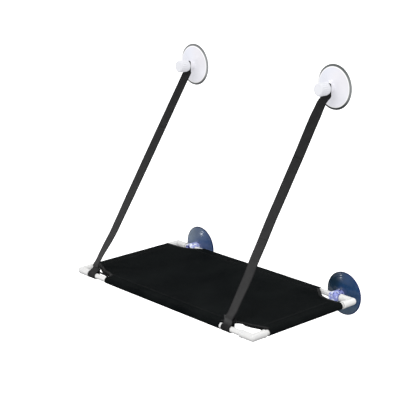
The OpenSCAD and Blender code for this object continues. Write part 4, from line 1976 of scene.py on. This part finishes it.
@dataclass
class Studio:
    """The pale floor, the soft lights and the camera of the photograph."""

    focal_px: float = 1173.924
    frame_px: float = 416.0
    azimuth: float = 48.584
    elevation: float = 15.959
    roll: float = -0.958
    place: tuple[float, float, float] = (1898.807, -1858.257, 908.89)
    sensor: float = 36.0
    aim: tuple[float, float, float] = (0.0, -0.15, 0.1)
    floor_z: float = -620.0
    floor_reach: float = 30000.0
    low_sky: tuple[float, float, float] = (0.10, 0.10, 0.11)
    high_sky: tuple[float, float, float] = (1.0, 1.0, 1.0)
    sky_strength: float = 0.95

    def camera(self) -> None:
        """Puts the camera where the photograph was taken from."""
        a, e, r = (math.radians(v) for v in (self.azimuth, self.elevation, self.roll))
        back = Vector((math.sin(a) * math.cos(e), -math.cos(a) * math.cos(e), math.sin(e)))
        right = Vector((math.cos(a), math.sin(a), 0))
        up = back.cross(right)
        right_2 = right * math.cos(r) + up * math.sin(r)
        up_2 = up * math.cos(r) - right * math.sin(r)
        lens = bpy.data.cameras.new("photo_camera")
        lens.sensor_width = self.sensor
        lens.lens = self.focal_px * self.sensor / self.frame_px
        lens.clip_end = 50.0
        camera = bpy.data.objects.new("photo_camera", lens)
        bpy.context.scene.collection.objects.link(camera)
        turned = Matrix((right_2, up_2, back)).transposed().to_4x4()
        turned.translation = Vector(self.place) * MM
        camera.matrix_world = turned
        bpy.context.scene.camera = camera

    def light(self, lamp: Lamp) -> None:
        """Adds a lamp that faces the perch.

        Args:
            lamp: The lamp.
        """
        data = bpy.data.lights.new(lamp.name, "AREA")
        data.size, data.energy = lamp.size, lamp.watts
        made = bpy.data.objects.new(lamp.name, data)
        bpy.context.scene.collection.objects.link(made)
        made.visible_glossy = lamp.mirrored
        made.location = lamp.at
        made.rotation_mode = "QUATERNION"
        towards = Vector(self.aim) - Vector(lamp.at)
        made.rotation_quaternion = towards.to_track_quat("-Z", "Y")

    def floor(self) -> None:
        """Lays a wide pale floor well below the perch."""
        draft = Draft()
        places = (-self.floor_reach, 0.0, self.floor_reach)
        rows = [[draft.vert((x, y, self.floor_z)) for x in places] for y in places]
        draft.bridge(rows)
        material = bpy.data.materials.new("floor_paint")
        material.use_nodes = True
        shader = material.node_tree.nodes["Principled BSDF"]
        shader.inputs["Base Color"].default_value = (0.9, 0.9, 0.9, 1)
        shader.inputs["Roughness"].default_value = 0.9
        shader.inputs["Emission Color"].default_value = (1, 1, 1, 1)
        shader.inputs["Emission Strength"].default_value = 0.7
        data = bpy.data.meshes.new("studio_floor")
        draft.mesh.to_mesh(data)
        draft.mesh.free()
        data.materials.append(material)
        floor = bpy.data.objects.new("studio_floor", data)
        bpy.context.scene.collection.objects.link(floor)
        floor.visible_diffuse = floor.visible_glossy = floor.visible_transmission = False

    def build(self) -> None:
        """Sets up the world, the lights, the floor and the camera."""
        scene = bpy.context.scene
        world = bpy.data.worlds.new("studio")
        scene.world = world
        world.use_nodes = True
        tree = Sockets(world.node_tree)
        sky = world.node_tree.nodes["Background"]
        parts = tree.node("ShaderNodeSeparateXYZ")
        tree.join(tree.node("ShaderNodeTexCoord").outputs["Generated"], parts.inputs[0])
        rise = tree.ramp(parts.outputs[2], -0.75, -0.02)
        tree.join(tree.mix(rise, tint(*self.low_sky), tint(*self.high_sky)),
                  sky.inputs["Color"])
        sky.inputs["Strength"].default_value = self.sky_strength
        scene.view_settings.view_transform = "Standard"
        self.floor()
        for lamp in LAMPS:
            self.light(lamp)
        self.camera()


STRAPS = (
    Strap(Side.LEFT, shift_keys=((0.78, 0.0), (0.93, -7.0), (0.985, -3.0)),
          twist_keys=((0.1, -7.0), (0.4, -8.0), (0.6, -5.0), (0.75, 0.0), (0.83, 3.0),
                      (0.93, 14.0), (0.99, 4.0)), loop_slide=0.0, ply_shift=-0.4),
    Strap(Side.RIGHT, shift_keys=((0.0, 0.0), (0.03, -5.5), (0.1, -5.5), (0.3, -3.0),
                                  (0.5, -2.0), (0.7, 1.0), (0.8, 4.2), (0.88, 4.0),
                                  (0.96, 4.5)),
          twist_keys=((0.0, -2.0), (0.035, -3.0), (0.1, -12.0), (0.3, -10.0), (0.6, -7.0),
                      (0.82, -3.0), (0.89, 3.0), (0.97, 6.0)), loop_slide=9.0,
          ply_shift=-11.0),
)


def main() -> None:
    """Builds the studio and every sub-assembly in order."""
    logging.basicConfig(level=logging.INFO, format="%(name)s: %(message)s")
    Studio().build()
    TubeFrame().build()
    Sling().build()
    for strap in STRAPS:
        strap.build()
    for role in Role:
        for side in Side:
            SuctionCup(role, side).build()
    Clamps().build()


if __name__ == "__main__":
    main()
